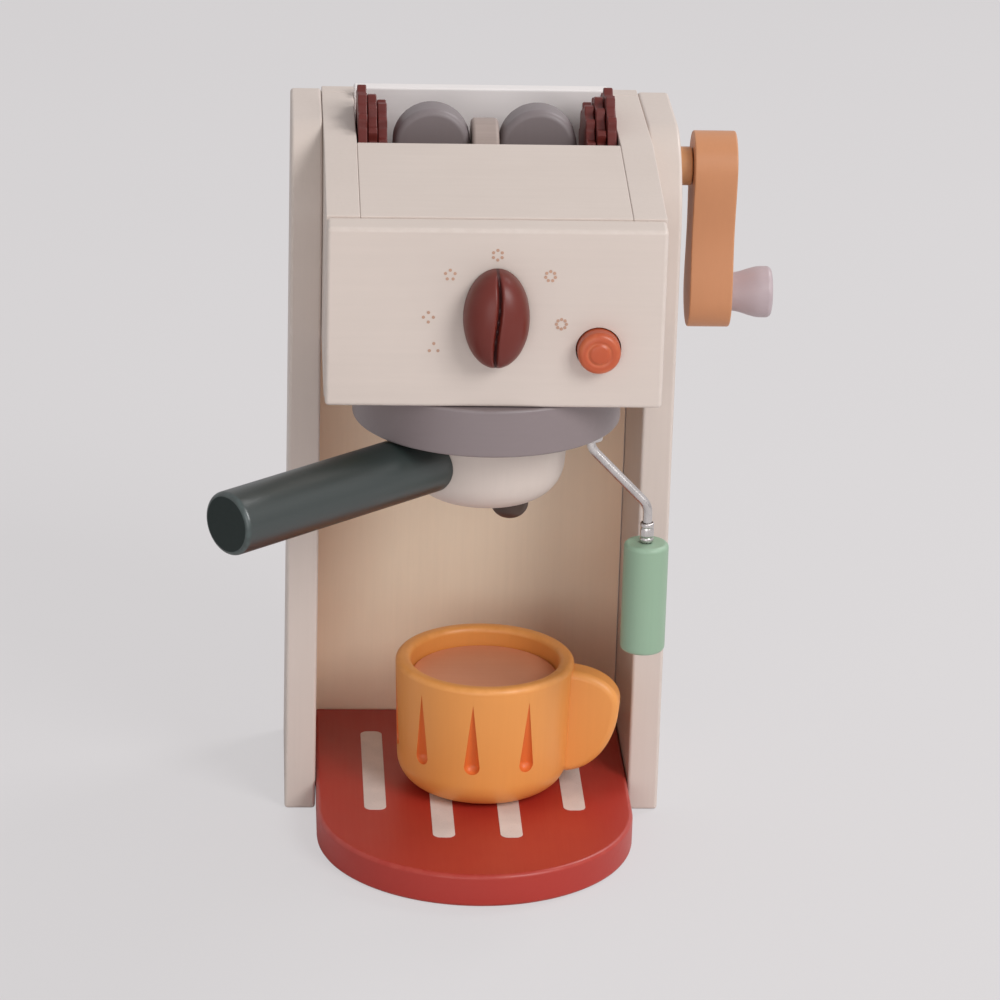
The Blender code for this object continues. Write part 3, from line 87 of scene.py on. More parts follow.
def start_finish(name):
    """Start a finish, and give its tree and the place of each point on the piece with it."""
    finish = bpy.data.materials.new(name)
    finish.use_nodes = True
    tree = finish.node_tree
    return finish, tree, node(tree, "ShaderNodeTexCoord").outputs["Object"]


def along_grain(tree, place, grain):
    """Draw a pattern out along the grain of the wood."""
    return node(tree, "ShaderNodeMapping", {"Vector": place, "Scale": ALONG[grain]}).outputs[0]


def noise(tree, place, fineness, detail=2.0, roughness=0.5):
    """One layer of noise over the piece, as a number from about 0 to 1."""
    inputs = {"Vector": place, "Scale": fineness, "Detail": detail, "Roughness": roughness}
    return node(tree, "ShaderNodeTexNoise", inputs).outputs["Fac"]


def spread(tree, value, low, high, to_low=0.0, to_high=1.0):
    """Stretch a number from one range to another, and hold it at the ends."""
    inputs = {"Value": value, "From Min": low, "From Max": high, "To Min": to_low, "To Max": to_high}
    return node(tree, "ShaderNodeMapRange", inputs).outputs["Result"]


def stretch(tree, value, reach, to_low=0.0, to_high=1.0):
    """Stretch the part of a noise that lies within a reach of one half."""
    return spread(tree, value, 0.5 - reach, 0.5 + reach, to_low, to_high)


def sums(tree, kind, first, second=0.0):
    """Plain arithmetic on one or two numbers."""
    return node(tree, "ShaderNodeMath", {0: first, 1: second}, operation=kind).outputs[0]


def tint(tree, share, first, second):
    """Blend from the first colour to the second."""
    mixer = node(tree, "ShaderNodeMix", {"Factor": share}, data_type="RGBA")
    for socket, colour in (("A", first), ("B", second)):
        entry = next(s for s in mixer.inputs if s.name == socket and s.type == "RGBA")
        if isinstance(colour, bpy.types.NodeSocket):
            tree.links.new(colour, entry)
        else:
            entry.default_value = (*colour, 1.0)
    return next(s for s in mixer.outputs if s.type == "RGBA")


def shade(colour, amount):
    """The same colour a little lighter or darker."""
    return tuple(min(1.0, part * amount) for part in colour)


def lay_finish(tree, colour, roughness, relief, strength, distance):
    """Give the surface its colour, dullness and fine relief, and hand back the shader's inputs."""
    shader = tree.nodes["Principled BSDF"].inputs
    bump = node(tree, "ShaderNodeBump", {"Height": relief, "Strength": strength, "Distance": distance})
    tree.links.new(colour, shader["Base Color"])
    tree.links.new(roughness, shader["Roughness"])
    tree.links.new(bump.outputs["Normal"], shader["Normal"])
    return shader


def satin_paint(name, colour, rubbed, grain="Z", gloss=SATIN, grain_depth=1.0, shift=0.022, shine=0.5):
    """Sprayed satin paint on sanded wood: faint grain lines, slight clouding, paler rubbed edges."""
    paint, tree, place = start_finish(name)
    lines = noise(tree, along_grain(tree, place, grain), GRAIN_FINE, 5.0, 0.62)
    cloud = noise(tree, place, CLOUD_FINE, 3.0)
    peel = noise(tree, place, PEEL_FINE, 1.0)
    grained = sums(tree, "MULTIPLY", lines, GRAIN_SHARE)
    blend = sums(tree, "ADD", grained, sums(tree, "MULTIPLY", cloud, 1.0 - GRAIN_SHARE))
    body = tint(tree, stretch(tree, blend, 0.16), shade(colour, 1.0 - shift), shade(colour, 1.0 + shift))
    edge = node(tree, "ShaderNodeAttribute", attribute_name="eased").outputs["Fac"]
    patchy = stretch(tree, noise(tree, place, WEAR_FINE, 3.0), 0.12, 0.1, 0.6)
    worn = tint(tree, sums(tree, "MULTIPLY", edge, patchy), body, rubbed)
    raised = sums(tree, "MULTIPLY", lines, grain_depth)
    relief = sums(tree, "ADD", raised, sums(tree, "MULTIPLY", peel, PEEL_SHARE))
    dull = stretch(tree, blend, 0.2, gloss + 0.06, gloss - 0.05)
    shader = lay_finish(tree, worn, dull, relief, PAINT_RELIEF, PAINT_DEPTH)
    shader["Specular IOR Level"].default_value = shine
    return paint


def corner(centre, radius, start, stop, steps):
    """Points on a round corner of an outline, in degrees."""
    angles = [math.radians(start + (stop - start) * step / steps) for step in range(steps + 1)]
    return [(centre[0] + radius * math.cos(a), centre[1] + radius * math.sin(a)) for a in angles]


def saw_board(outline, axis, low, high):
    """Cut a board to an outline. The outline's numbers are the two axes other than the given one."""
    bm = bmesh.new()
    spot = "XYZ".index(axis)
    travel = Vector([high - low if number == spot else 0.0 for number in range(3)])
    corners = []
    for first, second in outline:
        point = [first, second]
        point.insert(spot, low)
        corners.append(bm.verts.new(point))
    grown = bmesh.ops.extrude_face_region(bm, geom=[bm.faces.new(corners)])
    far = [item for item in grown["geom"] if isinstance(item, bmesh.types.BMVert)]
    bmesh.ops.translate(bm, vec=travel, verts=far)
    return bm


def ease_edges(bm, width, steps=3, chosen=None):
    """Round the sharp edges and note on each point how far it is out on a rounded edge."""
    bmesh.ops.recalc_face_normals(bm, faces=bm.faces)
    layer = bm.verts.layers.float.get("eased") or bm.verts.layers.float.new("eased")
    sharp = chosen or [e for e in bm.edges if e.calc_face_angle(0.0) > SHARPER_THAN]
    made = bmesh.ops.bevel(
        bm, geom=sharp, offset=width, offset_type="OFFSET", segments=steps, profile=0.5, affect="EDGES"
    )
    rounded = set(made["faces"])
    for face in rounded:
        for vert in face.verts:
            vert[layer] = 1.0 if all(near in rounded for near in vert.link_faces) else 0.0
    return bm


def blank(name, bm, finish):
    """Take a shape off the bench as an unfinished piece."""
    bmesh.ops.remove_doubles(bm, verts=bm.verts, dist=SAME_POINT)
    bmesh.ops.recalc_face_normals(bm, faces=bm.faces)
    mesh = bpy.data.meshes.new(name)
    bm.to_mesh(mesh)
    bm.free()
    mesh.materials.append(finish)
    piece = bpy.data.objects.new(name, mesh)
    bpy.context.scene.collection.objects.link(piece)
    return piece


def cut_board(name, outline, axis, low, high, ease, finish, steps=3):
    """Make a board: saw it to its outline between two corners of its box, and round its edges."""
    spot = "XYZ".index(axis)
    return blank(name, ease_edges(saw_board(outline, axis, low[spot], high[spot]), ease, steps), finish)


def keep_shape(piece):
    """Turn the shape that the modifiers give into the piece's own mesh."""
    bpy.context.view_layer.update()
    graph = bpy.context.evaluated_depsgraph_get()
    settled = bpy.data.meshes.new_from_object(
        piece.evaluated_get(graph), preserve_all_data_layers=True, depsgraph=graph
    )
    piece.modifiers.clear()
    piece.data = settled


def fit_piece(piece, body, cad_node):
    """Smooth the piece, keep its flat faces flat, and hang it on the body that carries it."""
    piece.data.shade_smooth()
    piece.data.set_sharp_from_angle(angle=SHARPER_THAN)
    piece.modifiers.new("flat_faces", "WEIGHTED_NORMAL").keep_sharp = True
    keep_shape(piece)
    if body:
        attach(piece, body)
    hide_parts(cad_node)
    return piece


cream_upright = satin_paint("cream_upright", CREAM, CREAM_RUBBED)
for side in ("left", "right"):
    low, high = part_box("side_panel_" + side)
    outline = [(low.y, low.z), (high.y, low.z)]
    outline += corner((high.y - PANEL_HEEL, high.z - PANEL_HEEL), PANEL_HEEL, 0, 90, 8)
    outline += corner((low.y + PANEL_NOSE, high.z - PANEL_NOSE), PANEL_NOSE, 90, 180, 32)
    panel = cut_board("panel_" + side, outline, "X", low, high, PANEL_EASE, cream_upright, 4)
    fit_piece(panel, "housing", "side_panel_" + side)

# Back panel
# A thinner board glued and dowelled between the side panels. Its face into the bay is painted a lighter,
# warmer cream as painted bounce light, darkening to a warm tan of painted shade towards the sides and foot.
BACK_EASE = 0.0004
GLUE_LINE = 0.00006
DRAWN_GAP = 0.0003
# The bay face's lighter, warmer cream is painted bounce light from the orange cup and red tray.
BAY_CREAM_PAINTED_LIGHT = (0.950, 0.790, 0.610)
# The warm tan and its reach below are painted shade, deepest in the corners of the bay.
BAY_SHADE_TAN = (0.840, 0.490, 0.300)
BAY_SHADE_FROM_SIDE = 0.034
BAY_SHADE_FROM_FOOT = 0.070
BAY_SHADE_SHARE = 0.42
BAY_SHADE_CURVE = 1.5
UNEVEN_FINE = 22.0
FLAT_ON = 0.98


def glued_box(name, *sides):
    """The box of a board, drawn up to its neighbours with a hairline of glue left between them."""
    low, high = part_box(name)
    for side in sides:
        end, way = (low, -1.0) if side[0] == "-" else (high, 1.0)
        end["XYZ".index(side[1])] += (DRAWN_GAP - GLUE_LINE) * way
    return low, high


def paint_bay_shade(paint, shade_colour, side, foot):
    """Paint shade onto the bay face: a warm tan that grows towards the sides and the foot of the bay."""
    tree = paint.node_tree
    colour = tree.nodes["Principled BSDF"].inputs["Base Color"]
    place = node(tree, "ShaderNodeTexCoord").outputs["Object"]
    parts = node(tree, "ShaderNodeSeparateXYZ", {"Vector": place}).outputs
    beside = spread(tree, sums(tree, "ABSOLUTE", parts["X"]), side - BAY_SHADE_FROM_SIDE, side)
    below = spread(tree, parts["Z"], foot, foot + BAY_SHADE_FROM_FOOT, 1.0, 0.0)
    uneven = stretch(tree, noise(tree, place, UNEVEN_FINE, 3.0), 0.2, 0.75, 1.0)
    # The warm tan is painted shade, strongest at the sides and the foot of the bay.
    shade_amount = sums(tree, "MULTIPLY", sums(tree, "MAXIMUM", beside, below), uneven)
    shade_amount = sums(tree, "MULTIPLY", sums(tree, "POWER", shade_amount, BAY_SHADE_CURVE), BAY_SHADE_SHARE)
    tree.links.new(tint(tree, shade_amount, colour.links[0].from_socket, shade_colour), colour)


def paint_end(piece, paint, towards):
    """Give the flat faces that look one way a paint of their own."""
    piece.data.materials.append(paint)
    for face in piece.data.polygons:
        if face.normal.dot(towards) > FLAT_ON:
            face.material_index = 1


# Painted bounce light: the face into the bay gets a lighter, warmer cream than the outside.
bay_cream_painted_light = satin_paint("cream_back_painted_light", BAY_CREAM_PAINTED_LIGHT, CREAM_RUBBED, grain_depth=1.2, shift=0.03)
low, high = glued_box("back_panel", "-X", "+X")
# Painted shade: the bay face darkens to a warm tan towards its sides and its foot.
paint_bay_shade(bay_cream_painted_light, BAY_SHADE_TAN, high.x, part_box("drip_tray")[1].z)
outline = [(low.x, low.y), (high.x, low.y), (high.x, high.y), (low.x, high.y)]
board = cut_board("back_board", outline, "Z", low, high, BACK_EASE, cream_upright)
# Only the face that looks into the bay takes the cream of painted bounce light.
paint_end(board, bay_cream_painted_light, Vector((0.0, -1.0, 0.0)))
fit_piece(board, "housing", "back_panel")

# Drip tray
# A thick red slab that closes the foot of the machine: square at the back, a half circle in front,
# with a generous hand-sanded round on its rim. It is dowelled to both side panels.
TRAY_EASE = 0.0016
TRAY_RED = (0.415, 0.030, 0.019)
TRAY_RED_RUBBED = (0.470, 0.060, 0.040)

tray_red = satin_paint("tray_red", TRAY_RED, TRAY_RED_RUBBED, "Y", 0.40)
low, high = glued_box("drip_tray", "+Y")
half = high.x
outline = [(low.x, high.y)] + corner((0.0, low.y + half), half, 180, 360, 72) + [(high.x, high.y)]
tray = cut_board("tray_slab", outline, "Z", low, high, TRAY_EASE, tray_red, 4)
fit_piece(tray, "housing", "drip_tray")

# Stripes on the tray
# Four pale stripes stand for the slots of a drip grid. They are screen-printed on the red slab as
# a film of ink, two long ones in the middle and two shorter ones outside.
INK_THICKNESS = 0.00012
INK_SPECK_FINE = 1500.0
INK_CLOUD_FINE = 90.0
INK_RELIEF = 0.15
STRIPE_WIDTH = 0.0078
STRIPE_CORNER = 0.0027
STRIPE_REAR = 0.042
STRIPE_LONG = 0.092
STRIPE_SHORT = 0.069
STRIPE_INNER = 0.0119
STRIPE_OUTER = 0.0355
STRIPE_INK = (0.745, 0.640, 0.595)


def inputs_of(tree, **sizes):
    """Give the tree named inputs for its sizes and its material, and hand back their sockets."""
    tree.interface.new_socket("Geometry", in_out="INPUT", socket_type="NodeSocketGeometry")
    tree.interface.new_socket("Geometry", in_out="OUTPUT", socket_type="NodeSocketGeometry")
    kinds = {float: "NodeSocketFloat", int: "NodeSocketInt", Vector: "NodeSocketVector"}
    for name, value in sizes.items():
        kind = kinds.get(type(value), "NodeSocketMaterial")
        tree.interface.new_socket(name, in_out="INPUT", socket_type=kind)
    return tree.nodes.new("NodeGroupInput").outputs


def run_tree(name, tree, last, finish_socket, points=(), **sizes):
    """Close the tree, run it on a new object with the given sizes, and keep the plain mesh."""
    plain = node(tree, "GeometryNodeRealizeInstances", {"Geometry": last}).outputs["Geometry"]
    dressed = node(tree, "GeometryNodeSetMaterial", {"Geometry": plain, "Material": finish_socket})
    node(tree, "NodeGroupOutput", {"Geometry": dressed.outputs["Geometry"]})
    mesh = bpy.data.meshes.new(name)
    mesh.from_pydata([tuple(point) for point in points], [], [])
    piece = bpy.data.objects.new(name, mesh)
    bpy.context.scene.collection.objects.link(piece)
    maker = piece.modifiers.new("maker", "NODES")
    maker.node_group = tree
    keys = {s.name: s.identifier for s in tree.interface.items_tree if s.in_out == "INPUT"}
    for key, value in sizes.items():
        maker[keys[key]] = value
    keep_shape(piece)
    bm = bmesh.new()
    bm.from_mesh(piece.data)
    bmesh.ops.remove_doubles(bm, verts=bm.verts, dist=SAME_POINT)
    bmesh.ops.recalc_face_normals(bm, faces=bm.faces)
    bm.to_mesh(piece.data)
    bm.free()
    return piece


def xyz(tree, **parts):
    """Put a place or a turn together from its parts."""
    return node(tree, "ShaderNodeCombineXYZ", parts).outputs["Vector"]


def rounded_outline(tree, width, height, radius, steps):
    """An oblong outline with round corners."""
    shape = node(tree, "GeometryNodeCurvePrimitiveQuadrilateral", {"Width": width, "Height": height})
    inputs = {"Curve": shape.outputs["Curve"], "Radius": radius}
    rounded = node(tree, "GeometryNodeFilletCurve", inputs, mode="POLY")
    rounded.inputs["Count"].default_value = steps
    return rounded.outputs["Curve"]


def printed_ink(name, colour, gloss=0.5):
    """Screen ink: flat and a little grainy, with pinholes where it did not take."""
    ink, tree, place = start_finish(name)
    speck = noise(tree, place, INK_SPECK_FINE, 3.0)
    cloud = stretch(tree, noise(tree, place, INK_CLOUD_FINE), 0.15)
    body = tint(tree, cloud, shade(colour, 0.94), shade(colour, 1.05))
    body = tint(tree, spread(tree, speck, 0.56, 0.74, 0.0, 0.35), body, shade(colour, 0.72))
    dull = stretch(tree, speck, 0.2, gloss - 0.06, gloss + 0.08)
    lay_finish(tree, body, dull, speck, INK_RELIEF, PAINT_DEPTH)
    return ink


def ink_film(tree, face, thickness):
    """Give a flat printed shape the thickness of its ink, closed below as well."""
    inputs = {"Mesh": face, "Offset Scale": thickness, "Individual": False}
    raised = node(tree, "GeometryNodeExtrudeMesh", inputs)
    below = node(tree, "GeometryNodeFlipFaces", {"Mesh": face})
    both = node(tree, "GeometryNodeJoinGeometry")
    tree.links.new(raised.outputs["Mesh"], both.inputs["Geometry"])
    tree.links.new(below.outputs["Mesh"], both.inputs["Geometry"])
    return both.outputs["Geometry"]


stripe_sizes = {
    "Width": STRIPE_WIDTH, "Long": STRIPE_LONG, "Short": STRIPE_SHORT, "Corner": STRIPE_CORNER,
    "Inner": STRIPE_INNER, "Outer": STRIPE_OUTER, "Rear": STRIPE_REAR,
    "Height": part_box("drip_tray")[1].z, "Film": INK_THICKNESS,
    "Ink": printed_ink("stripe_ink", STRIPE_INK),
}
tree = bpy.data.node_groups.new("tray_stripes", "GeometryNodeTree")
size = inputs_of(tree, **stripe_sizes)
stripes = node(tree, "GeometryNodeJoinGeometry")
for length, offset in (("Long", "Inner"), ("Short", "Outer")):
    curve = rounded_outline(tree, size["Width"], size[length], size["Corner"], 8)
    face = node(tree, "GeometryNodeFillCurve", {"Curve": curve})
    film = ink_film(tree, face.outputs["Mesh"], size["Film"])
    back = sums(tree, "SUBTRACT", size["Rear"], sums(tree, "DIVIDE", size[length], 2.0))
    start = xyz(tree, X=sums(tree, "MULTIPLY", size[offset], -1.0), Y=back, Z=size["Height"])
    gap = xyz(tree, X=sums(tree, "MULTIPLY", size[offset], 2.0))
    pair = node(tree, "GeometryNodeMeshLine", {"Count": 2, "Start Location": start, "Offset": gap})
    laid = node(tree, "GeometryNodeInstanceOnPoints", {"Points": pair.outputs["Mesh"], "Instance": film})
    tree.links.new(laid.outputs["Instances"], stripes.inputs["Geometry"])
stripe_print = run_tree("tray_stripes", tree, stripes.outputs["Geometry"], size["Ink"], **stripe_sizes)
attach(stripe_print, "housing")

# Head box
# Two cheek boards run back between the side panels, and a control board closes their front ends.
# A sloping lid and a plain floor close the box, and two cross boards stand before and behind the
# open hopper. The joints are butted and dowelled, so fine seams show between the boards.
CHEEK_EASE = 0.0004
FASCIA_EASE = 0.0014
LID_THICKNESS = 0.008
HOPPER_FRONT_EASE = 0.0002
CROSS_EASE = 0.0008
HOLE_GAP = 0.0004
BUTTON_HOLE = 0.0076
RAIL_LILAC = (0.840, 0.790, 0.780)
BEECH_PALE = (0.66, 0.48, 0.30)
BEECH_DARK = (0.46, 0.295, 0.165)
RING_FINE = 230.0
FIBRE_FINE = 1500.0
FLECK_FINE = 2600.0
FIBRE_RELIEF = 0.3
FIBRE_DEPTH = 0.00015


def bare_beech(name, grain):
    """Bare beech: fine straight grain with the short dark flecks that beech has."""
    wood, tree, place = start_finish(name)
    lined = along_grain(tree, place, grain)
    rings = noise(tree, lined, RING_FINE, 6.0, 0.65)
    fibre = noise(tree, lined, FIBRE_FINE, 3.0)
    fleck = spread(tree, noise(tree, lined, FLECK_FINE, 1.0), 0.62, 0.72)
    body = tint(tree, stretch(tree, rings, 0.14), BEECH_DARK, BEECH_PALE)
    body = tint(tree, stretch(tree, fibre, 0.2, 0.0, 0.45), body, shade(BEECH_PALE, 1.12))
    body = tint(tree, sums(tree, "MULTIPLY", fleck, 0.5), body, shade(BEECH_DARK, 0.6))
    lay_finish(tree, body, stretch(tree, fibre, 0.2, 0.62, 0.5), fibre, FIBRE_RELIEF, FIBRE_DEPTH)
    return wood


def drill(piece, bm, how="DIFFERENCE", inside=None):
    """Cut a hole or a flute into a piece, or glue a block on it. The cut can have its own paint."""
    bit = bpy.data.objects.new("bit", bpy.data.meshes.new("bit"))
    bmesh.ops.recalc_face_normals(bm, faces=bm.faces)
    bm.to_mesh(bit.data)
    bm.free()
    bpy.context.scene.collection.objects.link(bit)
    cut = piece.modifiers.new("cut", "BOOLEAN")
    cut.operation, cut.solver, cut.object = how, "EXACT", bit
    if inside:
        bit.data.materials.append(inside)
        cut.material_mode = "TRANSFER"
    keep_shape(piece)
    bpy.data.objects.remove(bit)


def middle_of(low, high):
    """The middle of a box."""
    return [(first + second) / 2 for first, second in zip(low, high)]


def skin(bm, rings):
    """Close the faces from each ring of points to the next, also where a ring is one point."""
    for inner, outer in zip(rings, rings[1:]):
        for number in range(len(inner)):
            after = (number + 1) % len(inner)
            corners = list(dict.fromkeys((inner[number], inner[after], outer[after], outer[number])))
            if len(corners) > 2:
                bm.faces.new(corners)


def lathe(profile, sides, start, along):
    """Turn a profile of (radius, distance, how far out on a rounded edge) about a line."""
    bm = bmesh.new()
    layer = bm.verts.layers.float.new("eased")
    rings = []
    for radius, distance, eased in profile:
        if radius < SAME_POINT:
            ring = [bm.verts.new((0.0, 0.0, distance))] * sides
        else:
            angles = [math.tau * side / sides for side in range(sides)]
            ring = [bm.verts.new((radius * math.cos(a), radius * math.sin(a), distance)) for a in angles]
        for vert in ring:
            vert[layer] = eased
        rings.append(ring)
    skin(bm, rings)
    turn = Vector(along).to_track_quat("Z", "Y").to_matrix().to_4x4()
    bm.transform(Matrix.Translation(Vector(start)) @ turn)
    return bm


def plain(*points):
    """Points of a turned profile that are not on a rounded edge."""
    return [(radius, distance, 0.0) for radius, distance in points]


def drill_hole(piece, radius, depth, sides, start, along):
    """Drill a hole with so many sides, from a point along a line."""
    hole = plain((0.0, 0.0), (radius, 0.0), (radius, depth), (0.0, depth))
    drill(piece, lathe(hole, sides, start, along))


def show_finish(finish, *names):
    """Put a finish on inner pieces that stay as they were built."""
    for name in names:
        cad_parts[name].data.materials.clear()
        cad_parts[name].data.materials.append(finish)


cream_level = satin_paint("cream_level", CREAM, CREAM_RUBBED, "X")
rail_lilac = satin_paint("rail_lilac", RAIL_LILAC, shade(RAIL_LILAC, 1.06), "X")
beech_across = bare_beech("beech_across", "X")
front_low, front_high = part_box("control_panel")
lid_low, lid_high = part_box("sloping_lid")
lid_front = lid_low.z + LID_THICKNESS
fall = (lid_high.z - lid_front) / (lid_high.y - lid_low.y)
for side in ("left", "right"):
    low, high = glued_box("head_cheek_" + side, "-X" if side == "left" else "+X", "-Y", "+Y")
    outline = [(low.y, low.z), (high.y, low.z), (high.y, high.z), (0.0, high.z)]
    outline.append((low.y, high.z + low.y * fall))
    cheek = cut_board("cheek_" + side, outline, "X", low, high, CHEEK_EASE, cream_upright)
    fit_piece(cheek, "housing", "head_cheek_" + side)

front_top = front_high.z + (front_low.y - front_high.y) * fall
outline = [
    (front_low.y, front_low.z), (front_high.y, front_low.z),
    (front_high.y, front_high.z), (front_low.y, front_top),
]
fascia = cut_board("control_board", outline, "X", front_low, front_high, FASCIA_EASE, cream_level, 5)
button_low, button_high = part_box("push_button")
button_x, _, button_z = middle_of(button_low, button_high)
reach = front_high.y - front_low.y
start = (button_x, front_low.y - reach / 2, button_z)
drill_hole(fascia, BUTTON_HOLE, reach * 2, 64, start, (0, 1, 0))
fit_piece(fascia, "housing", "control_panel")

low, high = glued_box("sloping_lid", "-X", "+X", "-Y")
drawn = (low.y - lid_low.y) * fall
outline = [
    (low.y, low.z + drawn), (high.y, high.z - LID_THICKNESS), (high.y, high.z), (low.y, lid_front + drawn)
]
lid = cut_board("lid_board", outline, "X", low, high, CHEEK_EASE, cream_level)
fit_piece(lid, "housing", "sloping_lid")
low, high = glued_box("hopper_front_board", "-X", "+X")
outline = [(low.y, low.z), (high.y, low.z), (high.y, high.z), (low.y, high.z + low.y * fall)]
board = cut_board("hopper_front", outline, "X", low, high, HOPPER_FRONT_EASE, beech_across)
fit_piece(board, "housing", "hopper_front_board")
low, high = glued_box("hopper_back_board", "-X", "+X", "+Y")
outline = [(low.y, low.z), (high.y, low.z), (high.y, high.z), (low.y, high.z)]
board = cut_board("hopper_rail", outline, "X", low, high, CROSS_EASE, rail_lilac)
fit_piece(board, "housing", "hopper_back_board")
hidden = ["head_floor", "spring_block", "handle_dowel", "dial_spindle", "dial_retainer"]
hidden += [f"{kind}_dowel_{number}" for kind in ("tray", "back", "fascia") for number in range(1, 5)]
show_finish(beech_across, *hidden)

# Marks round the dial
# Six small rings of dots, three dots to eight, printed round the dial in a thin tan ink. Each is
# given by how far its middle lies to the right of the dial and above it.
MARK_PLACES = (
    (-0.0204, -0.0114), (-0.0224, -0.0006), (-0.0155, 0.0141),
    (0.0, 0.0211), (0.0176, 0.0140), (0.0217, -0.0026),
)
FEWEST_DOTS = 3
DOT_RADIUS = 0.00055
DOT_RING = 0.00165
DOT_SIDES = 16
MARK_INK = (0.500, 0.300, 0.215)

dial_low, dial_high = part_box("selector_dial")
dial_x, _, dial_z = middle_of(dial_low, dial_high)
dots = []
for count, (across, up) in enumerate(MARK_PLACES, start=FEWEST_DOTS):
    centre = Vector((dial_x + across, front_low.y, dial_z + up))
    for number in range(count):
        angle = math.tau * number / count + math.pi / 2
        dots.append(centre + Vector((math.cos(angle), 0.0, math.sin(angle))) * DOT_RING)
mark_sizes = {
    "Radius": DOT_RADIUS, "Film": INK_THICKNESS, "Turn": Vector((math.pi / 2, 0.0, 0.0)),
    "Ink": printed_ink("mark_ink", MARK_INK),
}
tree = bpy.data.node_groups.new("dial_marks", "GeometryNodeTree")
size = inputs_of(tree, **mark_sizes)
inputs = {"Vertices": DOT_SIDES, "Radius": size["Radius"]}
dot = node(tree, "GeometryNodeMeshCircle", inputs, fill_type="NGON")
film = ink_film(tree, dot.outputs["Mesh"], size["Film"])
inputs = {"Points": size["Geometry"], "Instance": film, "Rotation": size["Turn"]}
laid = node(tree, "GeometryNodeInstanceOnPoints", inputs)
marks = run_tree("dial_marks", tree, laid.outputs["Instances"], size["Ink"], dots, **mark_sizes)
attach(marks, "housing")

# Crank shaft
# A beech rod that runs through both cheeks and carries the grinder between them. It turns in
# plain drilled holes, and its outer end is glued into the crank arm.
SHAFT_EASE = 0.0006


def bead(centre, radius, start, stop, steps=5):
    """A rounded edge of a turned profile, marked as rubbed most in its middle."""
    points = corner(centre, radius, start, stop, steps)
    return [(a, b, math.sin(math.pi * n / steps)) for n, (a, b) in enumerate(points)]


def rims(radius, length, ease, steps):
    """The side of a turned piece with both its rims rounded."""
    lower = bead((radius - ease, ease), ease, -90, 0, steps)
    return lower + bead((radius - ease, length - ease), ease, 0, 90, steps)


def rod(radius, length, ease, steps=4):
    """The profile of a rod with both rims rounded."""
    return plain((0.0, 0.0)) + rims(radius, length, ease, steps) + plain((0.0, length))


def turn_piece(name, profile, sides, start, along, finish):
    """Make a turned piece: shape it on the lathe from a point along a line."""
    return blank(name, lathe(profile, sides, start, along), finish)


shaft_low, shaft_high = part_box("crank_shaft")
shaft_radius = (shaft_high.z - shaft_low.z) / 2
_, shaft_y, shaft_z = middle_of(shaft_low, shaft_high)
profile = rod(shaft_radius, shaft_high.x - shaft_low.x, SHAFT_EASE, 3)
shaft = turn_piece("shaft_rod", profile, 48, (shaft_low.x, shaft_y, shaft_z), (1, 0, 0), beech_across)
fit_piece(shaft, "crank", "crank_shaft")

# Toothed wheels
# Three toothed wheels of different size at each end of the hopper, milled from board, painted
# maroon and glued to the shaft. The teeth are blunt and each wheel stands a little turned.
WHEEL_TEETH = 14
TOOTH_DEPTH = 0.0022
WHEEL_BORE = 0.0043
WHEEL_EASE = 0.00045
STEPS_PER_TOOTH = 12
TOOTH_RAMP = 0.22
TOOTH_LAND = 0.16
WHOLE_TURNS = 100.0
MAROON = (0.122, 0.015, 0.011)
MAROON_RUBBED = (0.165, 0.030, 0.022)

maroon_board = satin_paint("maroon_board", MAROON, MAROON_RUBBED, "Y", 0.42, shine=0.4)


